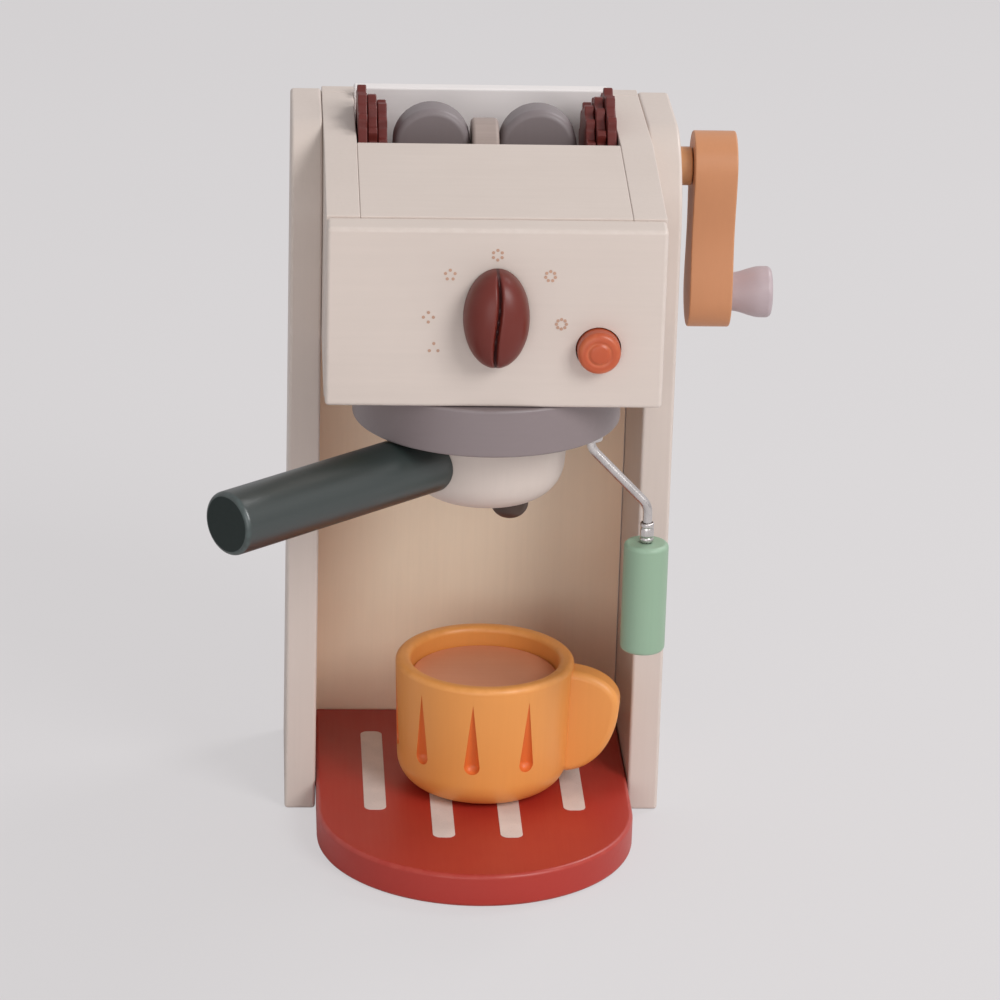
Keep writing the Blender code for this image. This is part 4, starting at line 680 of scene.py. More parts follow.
def wheel_tree(**sizes):
    """A wheel swept round its axis from its cross section, with the rim pressed into teeth."""
    tree = bpy.data.node_groups.new("toothed_wheel", "GeometryNodeTree")
    size = inputs_of(tree, **sizes)
    width = sums(tree, "SUBTRACT", size["Radius"], size["Bore"])
    centre = sums(tree, "DIVIDE", sums(tree, "ADD", size["Radius"], size["Bore"]), 2.0)
    section = rounded_outline(tree, width, size["Thickness"], size["Ease"], 3)
    inputs = {"Resolution": sums(tree, "MULTIPLY", size["Teeth"], size["Steps"]), "Radius": centre}
    path = node(tree, "GeometryNodeCurvePrimitiveCircle", inputs).outputs["Curve"]
    swept = node(tree, "GeometryNodeCurveToMesh", {"Curve": path, "Profile Curve": section}).outputs["Mesh"]
    place = node(tree, "GeometryNodeInputPosition").outputs["Position"]
    parts = node(tree, "ShaderNodeSeparateXYZ", {"Vector": place}).outputs
    flat = xyz(tree, X=parts["X"], Y=parts["Y"])
    reach = node(tree, "ShaderNodeVectorMath", {0: flat}, operation="LENGTH").outputs["Value"]
    angle = sums(tree, "ARCTAN2", parts["Y"], parts["X"])
    turns = sums(tree, "MULTIPLY", angle, sums(tree, "DIVIDE", size["Teeth"], math.tau))
    share = sums(tree, "FRACT", sums(tree, "ADD", turns, WHOLE_TURNS))
    from_land = sums(tree, "ABSOLUTE", sums(tree, "SUBTRACT", share, 0.5))
    half_land = sums(tree, "DIVIDE", size["Land"], 2.0)
    land_end = sums(tree, "ADD", half_land, size["Ramp"])
    inputs = {"Value": from_land, "From Min": half_land, "From Max": land_end}
    sunk = node(tree, "ShaderNodeMapRange", inputs, interpolation_type="SMOOTHSTEP").outputs["Result"]
    outer = spread(tree, reach, centre, sums(tree, "SUBTRACT", size["Radius"], size["Ease"]))
    press = sums(tree, "MULTIPLY", sums(tree, "MULTIPLY", sunk, outer), size["Depth"])
    keep = sums(tree, "SUBTRACT", 1.0, sums(tree, "DIVIDE", press, reach))
    pressed = node(tree, "ShaderNodeVectorMath", {0: flat, "Scale": keep}, operation="SCALE")
    inputs = {0: pressed.outputs["Vector"], 1: xyz(tree, Z=parts["Z"])}
    moved = node(tree, "ShaderNodeVectorMath", inputs, operation="ADD").outputs["Vector"]
    wheel = node(tree, "GeometryNodeSetPosition", {"Geometry": swept, "Position": moved}).outputs["Geometry"]
    inputs = {"Geometry": wheel, "Rotation": xyz(tree, Z=size["Phase"])}
    wheel = node(tree, "GeometryNodeTransform", inputs).outputs["Geometry"]
    inputs = {"Geometry": wheel, "Rotation": (0.0, math.pi / 2, 0.0), "Translation": size["Middle"]}
    return tree, node(tree, "GeometryNodeTransform", inputs).outputs["Geometry"], size["Finish"]


for side in ("left", "right"):
    for number in (1, 2, 3):
        low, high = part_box(f"burr_wheel_{side}_{number}")
        wheel_sizes = {
            "Radius": (high.y - low.y) / 2, "Bore": WHEEL_BORE, "Thickness": high.x - low.x,
            "Teeth": WHEEL_TEETH, "Depth": TOOTH_DEPTH, "Ease": WHEEL_EASE, "Ramp": TOOTH_RAMP,
            "Land": TOOTH_LAND, "Phase": (number - 1) / 3 * math.tau / WHEEL_TEETH,
            "Steps": STEPS_PER_TOOTH, "Middle": Vector((middle_of(low, high)[0], shaft_y, shaft_z)),
            "Finish": maroon_board,
        }
        wheel = run_tree(f"toothed_{side}_{number}", *wheel_tree(**wheel_sizes), **wheel_sizes)
        fit_piece(wheel, "crank", f"burr_wheel_{side}_{number}")

# Grinder paddles
# Two thick tongues with round ends, threaded on the shaft between the wheels. They are painted
# mauve grey and turn over in the hopper as the crank goes round.
PADDLE_EASE = 0.0024
MAUVE = (0.208, 0.172, 0.177)
MAUVE_RUBBED = (0.235, 0.200, 0.204)

mauve_paint = satin_paint("mauve_paint", MAUVE, MAUVE_RUBBED, "Z", 0.46)
for side in ("left", "right"):
    low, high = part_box("grinder_paddle_" + side)
    radius = (high.x - low.x) / 2
    middle = middle_of(low, high)[0]
    outline = corner((middle, high.z - radius), radius, 0, 180, 32)
    outline += corner((middle, low.z + radius), radius, 180, 360, 32)
    paddle = cut_board("paddle_" + side, outline, "Y", low, high, PADDLE_EASE, mauve_paint, 5)
    start = (middle - radius * 2, shaft_y, shaft_z)
    drill_hole(paddle, WHEEL_BORE, radius * 4, 48, start, (1, 0, 0))
    fit_piece(paddle, "crank", "grinder_paddle_" + side)

# Grinder hub
# A plain beech bead with rounded rims, threaded on the shaft between the two paddles to keep them
# apart. It is turned on a lathe and sanded, and coloured a grey beige as painted shade between the paddles.
HUB_EASE = 0.0014
# The hub's grey beige is painted shade for where it sits between the paddles.
HUB_SHADE_GREY = (0.380, 0.300, 0.270)


def tube(inner, outer, length, ease, steps=3):
    """The closed profile of a ring with its outer rims rounded."""
    return plain((inner, 0.0)) + rims(outer, length, ease, steps) + plain((inner, length), (inner, 0.0))


low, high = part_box("grinder_hub")
profile = tube(WHEEL_BORE, (high.z - low.z) / 2, high.x - low.x, HUB_EASE, 5)
# Painted shade: a grey beige, darker than beech, on the hub.
hub_painted_shade = satin_paint("hub_painted_shade", HUB_SHADE_GREY, shade(HUB_SHADE_GREY, 1.15), "X", 0.55, 2.0, 0.09)
hub = turn_piece("hub_bead", profile, 64, (low.x, shaft_y, shaft_z), (1, 0, 0), hub_painted_shade)
fit_piece(hub, "crank", "grinder_hub")

# Crank arm and its spacer
# A slightly waisted arm cut from thick board and painted terracotta, with an apricot ring that
# keeps it clear of the side panel. One screw in a sunk hole holds it to the shaft.
ARM_EASE = 0.0006
ARM_WAIST = 0.0023
ARM_STEPS = 24
ARM_BORE = 0.0043
ARM_BORE_DEPTH = 0.008
SCREW_HOLE = 0.0035
SCREW_SINK = 0.0023
SPACER_EASE = 0.0007
SPACER_BORE = 0.0043
SCREW_SHANK_SHARE = 0.44
SCREW_HEAD_DEPTH = 0.002
SCREW_EASE = 0.0003
HEX_RADIUS = 0.0019
HEX_DEPTH = 0.0014
TERRACOTTA = (0.550, 0.238, 0.109)
TERRACOTTA_RUBBED = (0.640, 0.320, 0.170)
APRICOT = (0.620, 0.300, 0.130)
BROWN = (0.055, 0.029, 0.020)
BROWN_RUBBED = (0.12, 0.07, 0.05)

terracotta = satin_paint("terracotta_paint", TERRACOTTA, TERRACOTTA_RUBBED, "Z", 0.45)
apricot = satin_paint("apricot_paint", APRICOT, shade(APRICOT, 1.15), "X", 0.45)
brown_paint = satin_paint("brown_paint", BROWN, BROWN_RUBBED, "Z", 0.42)
low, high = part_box("crank_spacer")
profile = tube(SPACER_BORE, (high.z - low.z) / 2, high.x - low.x, SPACER_EASE)
spacer = turn_piece("spacer_ring", profile, 56, (low.x, shaft_y, shaft_z), (1, 0, 0), apricot)
fit_piece(spacer, "crank", "crank_spacer")

arm_low, arm_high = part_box("crank_arm")
end_radius = (arm_high.y - arm_low.y) / 2
pin_z = arm_low.z + end_radius
throw = shaft_z - pin_z
down, up = [], []
for step in range(1, ARM_STEPS):
    share = step / ARM_STEPS
    half = end_radius - ARM_WAIST * (0.5 - 0.5 * math.cos(math.tau * share))
    down.append((shaft_y - half, shaft_z - throw * share))
    up.append((shaft_y + half, pin_z + throw * share))
outline = corner((shaft_y, shaft_z), end_radius, 0, 180, 32) + down
outline += corner((shaft_y, pin_z), end_radius, 180, 360, 32) + up
arm = cut_board("arm_board", outline, "X", arm_low, arm_high, ARM_EASE, terracotta, 4)
for radius, depth, face in ((SCREW_HOLE, SCREW_SINK, arm_high.x), (ARM_BORE, ARM_BORE_DEPTH, arm_low.x)):
    drill_hole(arm, radius, depth * 2, 48, (face - depth, shaft_y, shaft_z), (1, 0, 0))
fit_piece(arm, "crank", "crank_arm")

low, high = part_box("crank_screw")
head = (high.z - low.z) / 2
length = high.x - low.x
shank = head * SCREW_SHANK_SHARE
shoulder = length - SCREW_HEAD_DEPTH
profile = plain((0.0, 0.0), (shank, 0.0), (shank, shoulder))
profile += bead((head - SCREW_EASE, shoulder + SCREW_EASE), SCREW_EASE, -90, 0, 2)
profile += bead((head - SCREW_EASE, length - SCREW_EASE), SCREW_EASE, 0, 90, 3) + plain((0.0, length))
screw = turn_piece("arm_screw", profile, 48, (low.x, shaft_y, shaft_z), (1, 0, 0), brown_paint)
drill_hole(screw, HEX_RADIUS, HEX_DEPTH * 2, 6, (high.x - HEX_DEPTH, shaft_y, shaft_z), (1, 0, 0))
fit_piece(screw, "crank", "crank_screw")

# Crank knob and its pin
# A small flared knob turned from hardwood and painted lilac. It spins on a shouldered steel pin,
# whose flat head sits in a recess in the knob's end.
KNOB_DOME = 0.0018
KNOB_NECK = 0.0068
KNOB_SINK = 0.0040
KNOB_SINK_DEPTH = 0.0028
KNOB_BORE = 0.0024
KNOB_STEPS = 24
PIN_RADIUS = 0.002
PIN_HEAD_DEPTH = 0.0024
PIN_EASE = 0.0005
LILAC = (0.450, 0.360, 0.380)
LILAC_RUBBED = (0.520, 0.430, 0.450)
STEEL = (0.600, 0.570, 0.560)
DRAWN_FINE = 5200.0
POLISH_FINE = 170.0
DRAWN_RELIEF = 0.12
DRAWN_DEPTH = 0.00008


def drawn_steel(name, along, gloss=0.24):
    """Bright drawn steel: fine lines along the wire and a slightly uneven polish."""
    steel, tree, place = start_finish(name)
    draw_lines = noise(tree, along_grain(tree, place, along), DRAWN_FINE)
    cloud = stretch(tree, noise(tree, place, POLISH_FINE, 3.0), 0.2)
    body = tint(tree, cloud, shade(STEEL, 0.86), shade(STEEL, 1.12))
    dull = stretch(tree, draw_lines, 0.2, gloss - 0.07, gloss + 0.1)
    shader = lay_finish(tree, body, dull, draw_lines, DRAWN_RELIEF, DRAWN_DEPTH)
    shader["Metallic"].default_value = 1.0
    return steel


lilac_turned = satin_paint("lilac_turned", LILAC, LILAC_RUBBED, "X", 0.42)
steel_across = drawn_steel("steel_across", "X")
knob_low, knob_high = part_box("crank_knob")
flared = (knob_high.z - knob_low.z) / 2
length = knob_high.x - knob_low.x
pin_low, pin_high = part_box("knob_pin")
pin_head = (pin_high.z - pin_low.z) / 2
profile = []
for step in range(KNOB_STEPS + 1):
    share = step / KNOB_STEPS
    swell = 0.5 - 0.5 * math.cos(math.pi * share)
    profile.append((KNOB_NECK + (flared - KNOB_NECK) * swell, (length - KNOB_DOME * 2) * share, 0.0))
profile += bead((flared - KNOB_DOME, length - KNOB_DOME), KNOB_DOME, 0, 90, 8)
floor = pin_high.x - KNOB_SINK_DEPTH - knob_low.x
profile += plain((KNOB_SINK, length), (KNOB_SINK, floor), (KNOB_BORE, floor))
profile += plain((KNOB_BORE, 0.0), (KNOB_NECK, 0.0))
knob = turn_piece("knob_turned", profile, 64, (knob_low.x, shaft_y, pin_z), (1, 0, 0), lilac_turned)
fit_piece(knob, "crank_knob", "crank_knob")
length = pin_high.x - pin_low.x
shoulder = length - PIN_HEAD_DEPTH
profile = plain((0.0, 0.0), (PIN_RADIUS, 0.0), (PIN_RADIUS, shoulder), (pin_head, shoulder))
profile += bead((pin_head - PIN_EASE, length - PIN_EASE), PIN_EASE, 0, 90, 3) + plain((0.0, length))
pin = turn_piece("knob_axle", profile, 48, (pin_low.x, shaft_y, pin_z), (1, 0, 0), steel_across)
fit_piece(pin, "crank", "knob_pin")

# Dial
# A coffee bean carved from a half-round block, with the curved seam of a bean down its middle.
# It is glossier than the boards, because it was dipped, and it turns on a hidden spindle.
BEAN_SLICES = 96
BEAN_POINTS = 96
BEAN_FULLNESS = 0.65
SEAM_DEPTH = 0.0022
SEAM_HALF = 0.0008
SEAM_SWAY = 0.0006
SEAM_SHARPNESS = 1.6
SEAM_FADE = 1.5
SEAM_DEEPEST = 0.5
SEAM_SHADE_SHARE = 0.62
LIP_PLACE = 1.9
LIP_FALL = 1.4
LIP_WEAR = 0.4
BACK_MARGIN = 0.0001
BEAN_RED = (0.140, 0.018, 0.011)
BEAN_RUBBED = (0.185, 0.034, 0.022)
# The seam's near-black maroon is painted shade in the groove.
SEAM_SHADE_DARK = (0.060, 0.014, 0.013)


def seam_at(lean):
    """How far the seam stands to the side, from one end of the bean (-1) to the other (1)."""
    return SEAM_SWAY * math.sin(math.pi * lean)


bean_paint = satin_paint("bean_paint", BEAN_RED, BEAN_RUBBED, "Z", 0.38, shine=0.42)
# Painted shade: the seam gets a near-black maroon of its own.
seam_painted_shade = satin_paint("seam_painted_shade", SEAM_SHADE_DARK, shade(SEAM_SHADE_DARK, 2.0), "Z", 0.5)
half_width = (dial_high.x - dial_low.x) / 2
half_length = (dial_high.z - dial_low.z) / 2
bean_back = dial_high.y
bean_depth = dial_high.y - dial_low.y
bm = bmesh.new()
layer = bm.verts.layers.float.new("eased")
rows = []
for slice_number in range(1, BEAN_SLICES):
    lean = math.sin(math.pi * (slice_number / BEAN_SLICES - 0.5))
    girth = math.sqrt(1.0 - lean * lean)
    row = []
    for number in range(BEAN_POINTS + 1):
        angle = math.pi * (number / BEAN_POINTS - 0.5)
        x = half_width * girth * math.sin(angle)
        depth = bean_depth * (girth * max(math.cos(angle), 0.0)) ** BEAN_FULLNESS
        near = abs(x - seam_at(lean)) / SEAM_HALF
        cut = SEAM_DEPTH * math.exp(-near * near * SEAM_SHARPNESS) * min(1.0, girth * SEAM_FADE)
        depth = max(depth - cut, depth * SEAM_DEEPEST)
        vert = bm.verts.new((dial_x + x, bean_back - depth, dial_z + half_length * lean))
        vert[layer] = max(0.0, 1.0 - abs(near - LIP_PLACE) * LIP_FALL) * LIP_WEAR
        row.append(vert)
    rows.append(row)
tips = [bm.verts.new((dial_x, bean_back, dial_z + half_length * end)) for end in (-1.0, 1.0)]
skin(bm, [[tips[0]] * len(row)] + rows + [[tips[1]] * len(row)])
bean = blank("bean_dial", bm, bean_paint)
# The faces along the seam's groove take the painted shade.
bean.data.materials.append(seam_painted_shade)
for face in bean.data.polygons:
    spot = face.center
    off_seam = abs(spot.x - dial_x - seam_at((spot.z - dial_z) / half_length))
    if off_seam < SEAM_HALF * SEAM_SHADE_SHARE and spot.y < bean_back - BACK_MARGIN:
        face.material_index = 1
fit_piece(bean, "dial", "selector_dial")

# Push button
# A short turned plug with a rounded face and one turned ring in it, painted bright orange, the ring paler.
# Its flange behind the board keeps it in, and a coil of steel wire pushes it out and gives way to it.
BUTTON_EASE = 0.0020
BUTTON_CROWN = 0.0006
BUTTON_STEPS = 32
RING_RADIUS = 0.0038
RING_HALF = 0.0006
RING_DEPTH = 0.00045
RING_PALER = 0.9
FLANGE_THICKNESS = 0.0022
SPRING_TURNS = 6
SPRING_WIRE = 0.0006
SPRING_STEPS = 28
SPRING_SIDES = 12
BUTTON_ORANGE = (0.490, 0.084, 0.027)
BUTTON_PALER = (0.620, 0.170, 0.070)


def draw_wire(route, radius, sides):
    """Draw round wire along a route of (point, direction across it). Its ends are flat."""
    bm = bmesh.new()
    rings = []
    for centre, sideways in route:
        ring = []
        for number in range(sides):
            angle = math.tau * number / sides
            outward = sideways * math.cos(angle) + Vector((0.0, math.sin(angle), 0.0))
            ring.append(bm.verts.new(centre + outward * radius))
        rings.append(ring)
    skin(bm, rings)
    return bm, [bm.faces.new(rings[0]), bm.faces.new(reversed(rings[-1]))]


button_paint = satin_paint("button_paint", BUTTON_ORANGE, BUTTON_PALER, "Y", 0.36)
flange = (button_high.x - button_low.x) / 2
stem = BUTTON_HOLE - HOLE_GAP
profile = []
for step in range(BUTTON_STEPS + 1):
    radius = (stem - BUTTON_EASE) * step / BUTTON_STEPS
    crown = BUTTON_CROWN * (radius / (stem - BUTTON_EASE)) ** 2
    # The ring is coloured paler, with the same paler orange as the rounded rim.
    ring = math.exp(-((radius - RING_RADIUS) / RING_HALF) ** 2)
    profile.append((radius, crown + RING_DEPTH * ring, RING_PALER * ring))
profile += bead((stem - BUTTON_EASE, BUTTON_CROWN + BUTTON_EASE), BUTTON_EASE, -90, 0, 8)[1:]
length = button_high.y - button_low.y
shoulder = length - FLANGE_THICKNESS
profile += plain((stem, shoulder), (flange, shoulder), (flange, length), (0.0, length))
button = turn_piece("button_plug", profile, 64, (button_x, button_low.y, button_z), (0, 1, 0), button_paint)
fit_piece(button, "button", "push_button")
steel_long = drawn_steel("steel_long", "Z")
show_finish(steel_long, "group_head_screw", "wand_collar")
low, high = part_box("button_spring")
coil_radius = (high.x - low.x) / 2 - SPRING_WIRE
coil_length = high.y - low.y - SPRING_WIRE * 2
route = []
for step in range(SPRING_TURNS * SPRING_STEPS + 1):
    angle = math.tau * step / SPRING_STEPS
    outward = Vector((math.cos(angle), 0.0, math.sin(angle)))
    along = Vector((0.0, coil_length * step / (SPRING_TURNS * SPRING_STEPS), 0.0))
    route.append((Vector((button_x, low.y + SPRING_WIRE, button_z)) + outward * coil_radius + along, outward))
coil = blank("coil_spring", draw_wire(route, SPRING_WIRE, SPRING_SIDES)[0], steel_long)
fit_piece(coil, None, "button_spring")
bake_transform(coil)

# Group head
# A thick mauve-grey disc screwed up under the head. A socket is turned in its underside, with a
# lip that is notched on two sides, where the portafilter's lugs go in before they turn home.
GROUP_EASE = 0.0010
SOCKET_WALL = 0.0145
LIP_REACH = 0.0047
LIP_HEIGHT = 0.0040
LIP_EASE = 0.0005
RECESS_HEIGHT = 0.0045
NOTCH_MIDDLE = 182.0
NOTCH_SPREAD = 54.0
FIT_GAP = 0.0003
TURN_GAP = 0.0004
BUSH_RADIUS = 0.0032
GROUP_GREY = (0.235, 0.189, 0.193)
GROUP_RUBBED = (0.270, 0.235, 0.237)


def sector(inner, outer, middle, angle, low, high):
    """A block cut from a ring: from one radius to another, and so many degrees wide."""
    start, stop = middle - angle / 2, middle + angle / 2
    outline = corner((0.0, group_y), outer, start, stop, 16) + corner((0.0, group_y), inner, stop, start, 16)
    return saw_board(outline, "Z", low, high)


group_grey = satin_paint("group_grey", GROUP_GREY, GROUP_RUBBED, "X")
group_low, group_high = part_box("group_head")
group_radius = (group_high.x - group_low.x) / 2
group_y = middle_of(group_low, group_high)[1]
thickness = group_high.z - group_low.z
recess = group_radius - SOCKET_WALL
socket = recess - LIP_REACH
ceiling = LIP_HEIGHT + RECESS_HEIGHT
profile = plain((0.0, ceiling), (recess, ceiling), (recess, LIP_HEIGHT), (socket, LIP_HEIGHT))
profile += bead((socket + LIP_EASE, LIP_EASE), LIP_EASE, 180, 270, 3)
profile += rims(group_radius, thickness, GROUP_EASE, 4) + plain((0.0, thickness))
group = turn_piece("group_disc", profile, 160, (0.0, group_y, group_low.z), (0, 0, 1), group_grey)
notch_low, notch_top = group_low.z - LIP_EASE, group_low.z + LIP_HEIGHT + RECESS_HEIGHT / 2
for middle in (NOTCH_MIDDLE, NOTCH_MIDDLE - 180.0):
    drill(group, sector(socket - LIP_EASE, recess - FIT_GAP, middle, NOTCH_SPREAD, notch_low, notch_top))
bush_low, bush_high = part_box("wand_bush")
bush_x, bush_y, _ = middle_of(bush_low, bush_high)
bush_length = bush_high.z - bush_low.z
drill_hole(group, BUSH_RADIUS + FIT_GAP, bush_length, 32, (bush_x, bush_y, bush_low.z), (0, 0, 1))
fit_piece(group, "housing", "group_head")

# Portafilter
# A turned cream basket with a bayonet neck, a thick handle coped to its side on a dowel, and two
# short brown spouts glued into its underside. The handle's end face has a duller green, darkened as
# painted shade for the end that looks away from the key lamp. The whole turns in the group head.
BASKET_TAPER = 0.0015
BASKET_ROUND = 0.013
BASKET_LEAN = 5.0
BASKET_RIM_EASE = 0.0007
DISH_WALL = 0.0063
DISH_DEPTH = 0.003
LUG_SPREAD = 48.0
LUG_HEIGHT = 0.0033
HANDLE_EASE = 0.0018
HANDLE_TURN = 222.0
HANDLE_RADIUS = 0.0108
HANDLE_REACH = 0.119
HANDLE_DROP = 0.0113
SPOUT_EASE = 0.0055
DARK_GREEN = (0.013, 0.023, 0.021)
GREEN_RUBBED = (0.060, 0.095, 0.092)

cream_turned = satin_paint("cream_turned", CREAM, CREAM_RUBBED)
green_paint = satin_paint("green_paint", DARK_GREEN, GREEN_RUBBED, "X", 0.36, shine=1.0)
# The end face's duller green is also darker: painted shade for the end that looks away from the key lamp.
end_green_painted_shade = satin_paint("green_end_painted_shade", shade(DARK_GREEN, 0.8), GREEN_RUBBED, "X", 0.62, shine=0.30)
basket_low, basket_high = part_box("portafilter_basket")
neck = socket - TURN_GAP
depth = group_low.z - FIT_GAP - basket_low.z
top = basket_high.z - basket_low.z
basket_radius = (basket_high.y - basket_low.y) / 2
foot = basket_radius - BASKET_TAPER - BASKET_ROUND
basket_place = (0.0, group_y, basket_low.z)
profile = plain((0.0, 0.0), *corner((foot, BASKET_ROUND), BASKET_ROUND, -90, -BASKET_LEAN, 28))
rim = (basket_radius - BASKET_RIM_EASE, depth - BASKET_RIM_EASE)
profile += bead(rim, BASKET_RIM_EASE, -BASKET_LEAN, 90, 4)
profile += plain((neck, depth), (neck, top), (socket - DISH_WALL, top))
profile += plain((socket - DISH_WALL, top - DISH_DEPTH), (0.0, top - DISH_DEPTH))
basket = turn_piece("basket_turned", profile, 144, basket_place, (0, 0, 1), cream_turned)
lug_top = basket_high.z - FIT_GAP
for middle in (HANDLE_TURN, HANDLE_TURN - 180.0):
    lug_reach = recess - TURN_GAP - FIT_GAP
    lug = sector(neck - FIT_GAP, lug_reach, middle, LUG_SPREAD, lug_top - LUG_HEIGHT, lug_top)
    drill(basket, lug, "UNION")
fit_piece(basket, "portafilter", "portafilter_basket")

turn = math.radians(HANDLE_TURN)
outward = Vector((math.cos(turn), math.sin(turn), 0.0))
inner = basket_radius - HANDLE_RADIUS
start = Vector((0.0, group_y, group_low.z - HANDLE_DROP)) + outward * inner
profile = rod(HANDLE_RADIUS, HANDLE_REACH - inner, HANDLE_EASE, 8)
handle = turn_piece("handle_turned", profile, 96, start, outward, green_paint)
room = basket_radius + FIT_GAP
bowl = plain((0.0, -FIT_GAP), *corner((foot, BASKET_ROUND), BASKET_ROUND + FIT_GAP, -90, -BASKET_LEAN, 28))
bowl += plain((room, depth), (room, depth * 2), (0.0, depth * 2))
drill(handle, lathe(bowl, 144, basket_place, (0, 0, 1)))
# Painted shade: the end face gets the darker green.
paint_end(handle, end_green_painted_shade, outward)
fit_piece(handle, "portafilter", "portafilter_handle")

for side in ("left", "right"):
    low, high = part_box("spout_" + side)
    radius = (high.x - low.x) / 2
    length = high.z - low.z
    x, y, _ = middle_of(low, high)
    profile = plain((0.0, 0.0), *corner((radius - SPOUT_EASE, SPOUT_EASE), SPOUT_EASE, -90, 0, 14))
    profile += plain((radius, length), (0.0, length))
    spout = turn_piece("spout_turned_" + side, profile, 64, (x, y, low.z), (0, 0, 1), brown_paint)
    fit_piece(spout, "portafilter", "spout_" + side)

# Steam wand
# A bent steel wire that swings in a steel bush under the group head. A grip turned from hardwood
# and painted mint is pressed on its lower end, with a crimped steel ferrule above its mouth.
WIRE_RADIUS = 0.0016
WIRE_SIDES = 28
WIRE_STUB = 0.0045
WIRE_REACH = 0.0205
WIRE_FALL = 0.0210
WIRE_BEND = 0.007
WIRE_EASE = 0.0004
BEND_STEPS = 14
BUSH_EASE = 0.0003
BUSH_FLANGE = 0.0014
FERRULE_EASE = 0.0004
FERRULE_STEPS = 24
CRIMP_DEPTH = 0.00022
CRIMP_WIDTH = 0.05
CRIMP_SHARES = (0.22, 0.78)
GRIP_EASE = 0.0016
MINT = (0.280, 0.410, 0.290)
MINT_RUBBED = (0.350, 0.500, 0.370)

mint_paint = satin_paint("mint_paint", MINT, MINT_RUBBED, "Z", 0.42)
wire_low, wire_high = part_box("wand_wire")
low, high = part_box("wand_grip")
grip_x, grip_y, _ = middle_of(low, high)
length = high.z - low.z
mouth = WIRE_RADIUS + FIT_GAP
profile = rod((high.x - low.x) / 2, length, GRIP_EASE, 6)
grip = turn_piece("grip_turned", profile, 72, (grip_x, grip_y, low.z), (0, 0, 1), mint_paint)
drill_hole(grip, mouth, length, 32, (grip_x, grip_y, wire_low.z - FIT_GAP), (0, 0, 1))
fit_piece(grip, "wand", "wand_grip")

bend_high = group_low.z - WIRE_STUB
slope = math.atan2(WIRE_REACH, WIRE_FALL)
setback = WIRE_BEND * math.tan(slope / 2)
bends = ((bush_x, bend_high + setback, 1.0), (grip_x, bend_high - WIRE_FALL - setback, -1.0))
stops = [(bush_x, wire_high.z, 0.0), (bush_x, bend_high + setback * 2, 0.0)]
for side_x, side_z, way in bends:
    for step in range(BEND_STEPS + 1):
        share = step / BEND_STEPS
        lean = slope * (share if way > 0.0 else 1.0 - share)
        across = side_x + way * WIRE_BEND * (1.0 - math.cos(lean))
        stops.append((across, side_z - way * WIRE_BEND * math.sin(lean), lean))
stops.append((grip_x, wire_low.z, 0.0))
route = []
for across, height, lean in stops:
    route.append((Vector((across, bush_y, height)), Vector((math.cos(lean), 0.0, math.sin(lean)))))
bm, ends = draw_wire(route, WIRE_RADIUS, WIRE_SIDES)
ease_edges(bm, WIRE_EASE, 2, [edge for face in ends for edge in face.edges])
fit_piece(blank("bent_wire", bm, steel_long), "wand", "wand_wire")

inner = WIRE_RADIUS + TURN_GAP
flange = (bush_high.x - bush_low.x) / 2
profile = plain((inner, 0.0)) + bead((flange - BUSH_EASE, BUSH_EASE), BUSH_EASE, -90, 0, 3)
profile += plain((flange, BUSH_FLANGE), (BUSH_RADIUS, BUSH_FLANGE), (BUSH_RADIUS, bush_length))
profile += plain((inner, bush_length), (inner, 0.0))
bush = turn_piece("turned_bush", profile, 56, (bush_x, bush_y, bush_low.z), (0, 0, 1), steel_long)
fit_piece(bush, "housing", "wand_bush")

low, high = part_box("wand_ferrule")
outer = (high.x - low.x) / 2
length = high.z - low.z
profile = plain((mouth, 0.0)) + bead((outer - FERRULE_EASE, FERRULE_EASE), FERRULE_EASE, -90, 0, 3)
for step in range(1, FERRULE_STEPS):
    share = step / FERRULE_STEPS
    crimp = CRIMP_DEPTH * sum(math.exp(-((share - middle) / CRIMP_WIDTH) ** 2) for middle in CRIMP_SHARES)
    profile += plain((outer - crimp, FERRULE_EASE + (length - FERRULE_EASE * 2) * share))
profile += bead((outer - FERRULE_EASE, length - FERRULE_EASE), FERRULE_EASE, 0, 90, 3)
profile += plain((mouth, length), (mouth, 0.0))
ferrule = turn_piece("crimped_ferrule", profile, 48, (grip_x, grip_y, low.z), (0, 0, 1), steel_long)
fit_piece(ferrule, "wand", "wand_ferrule")

# Cup
# A thick-walled cup turned from hardwood, with a solid egg-shaped ear glued to its side and
# tapering flutes cut round it. It is painted orange, and the faces cut by the flutes get a deeper orange.
CUP_WALL = 0.0055
CUP_TAPER = 0.0015
CUP_FOOT_ROUND = 0.011
CUP_RIM_ROUND = 0.0022
CUP_FLOOR = 0.007
CUP_LEDGE = 0.002
EAR_TURN = -8.0
EAR_ROOT = 0.02925
EAR_REACH = 0.0195
EAR_RISE = 0.0122
EAR_DROP = 0.0270
EAR_THICKNESS = 0.011
EAR_HEIGHT_SHARE = 0.70
EAR_ROUND = 0.0028
FLUTE_FIRST = 55.0
FLUTE_PITCH = 37.0
FLUTES_A_SIDE = 4
FLUTE_RADIUS = 0.0028
FLUTE_LOW_SHARE = 0.31
FLUTE_HIGH_SHARE = 0.88
CUP_ORANGE = (0.800, 0.325, 0.078)
CUP_RUBBED = (0.920, 0.400, 0.120)
FLUTE_ORANGE = (0.760, 0.175, 0.034)

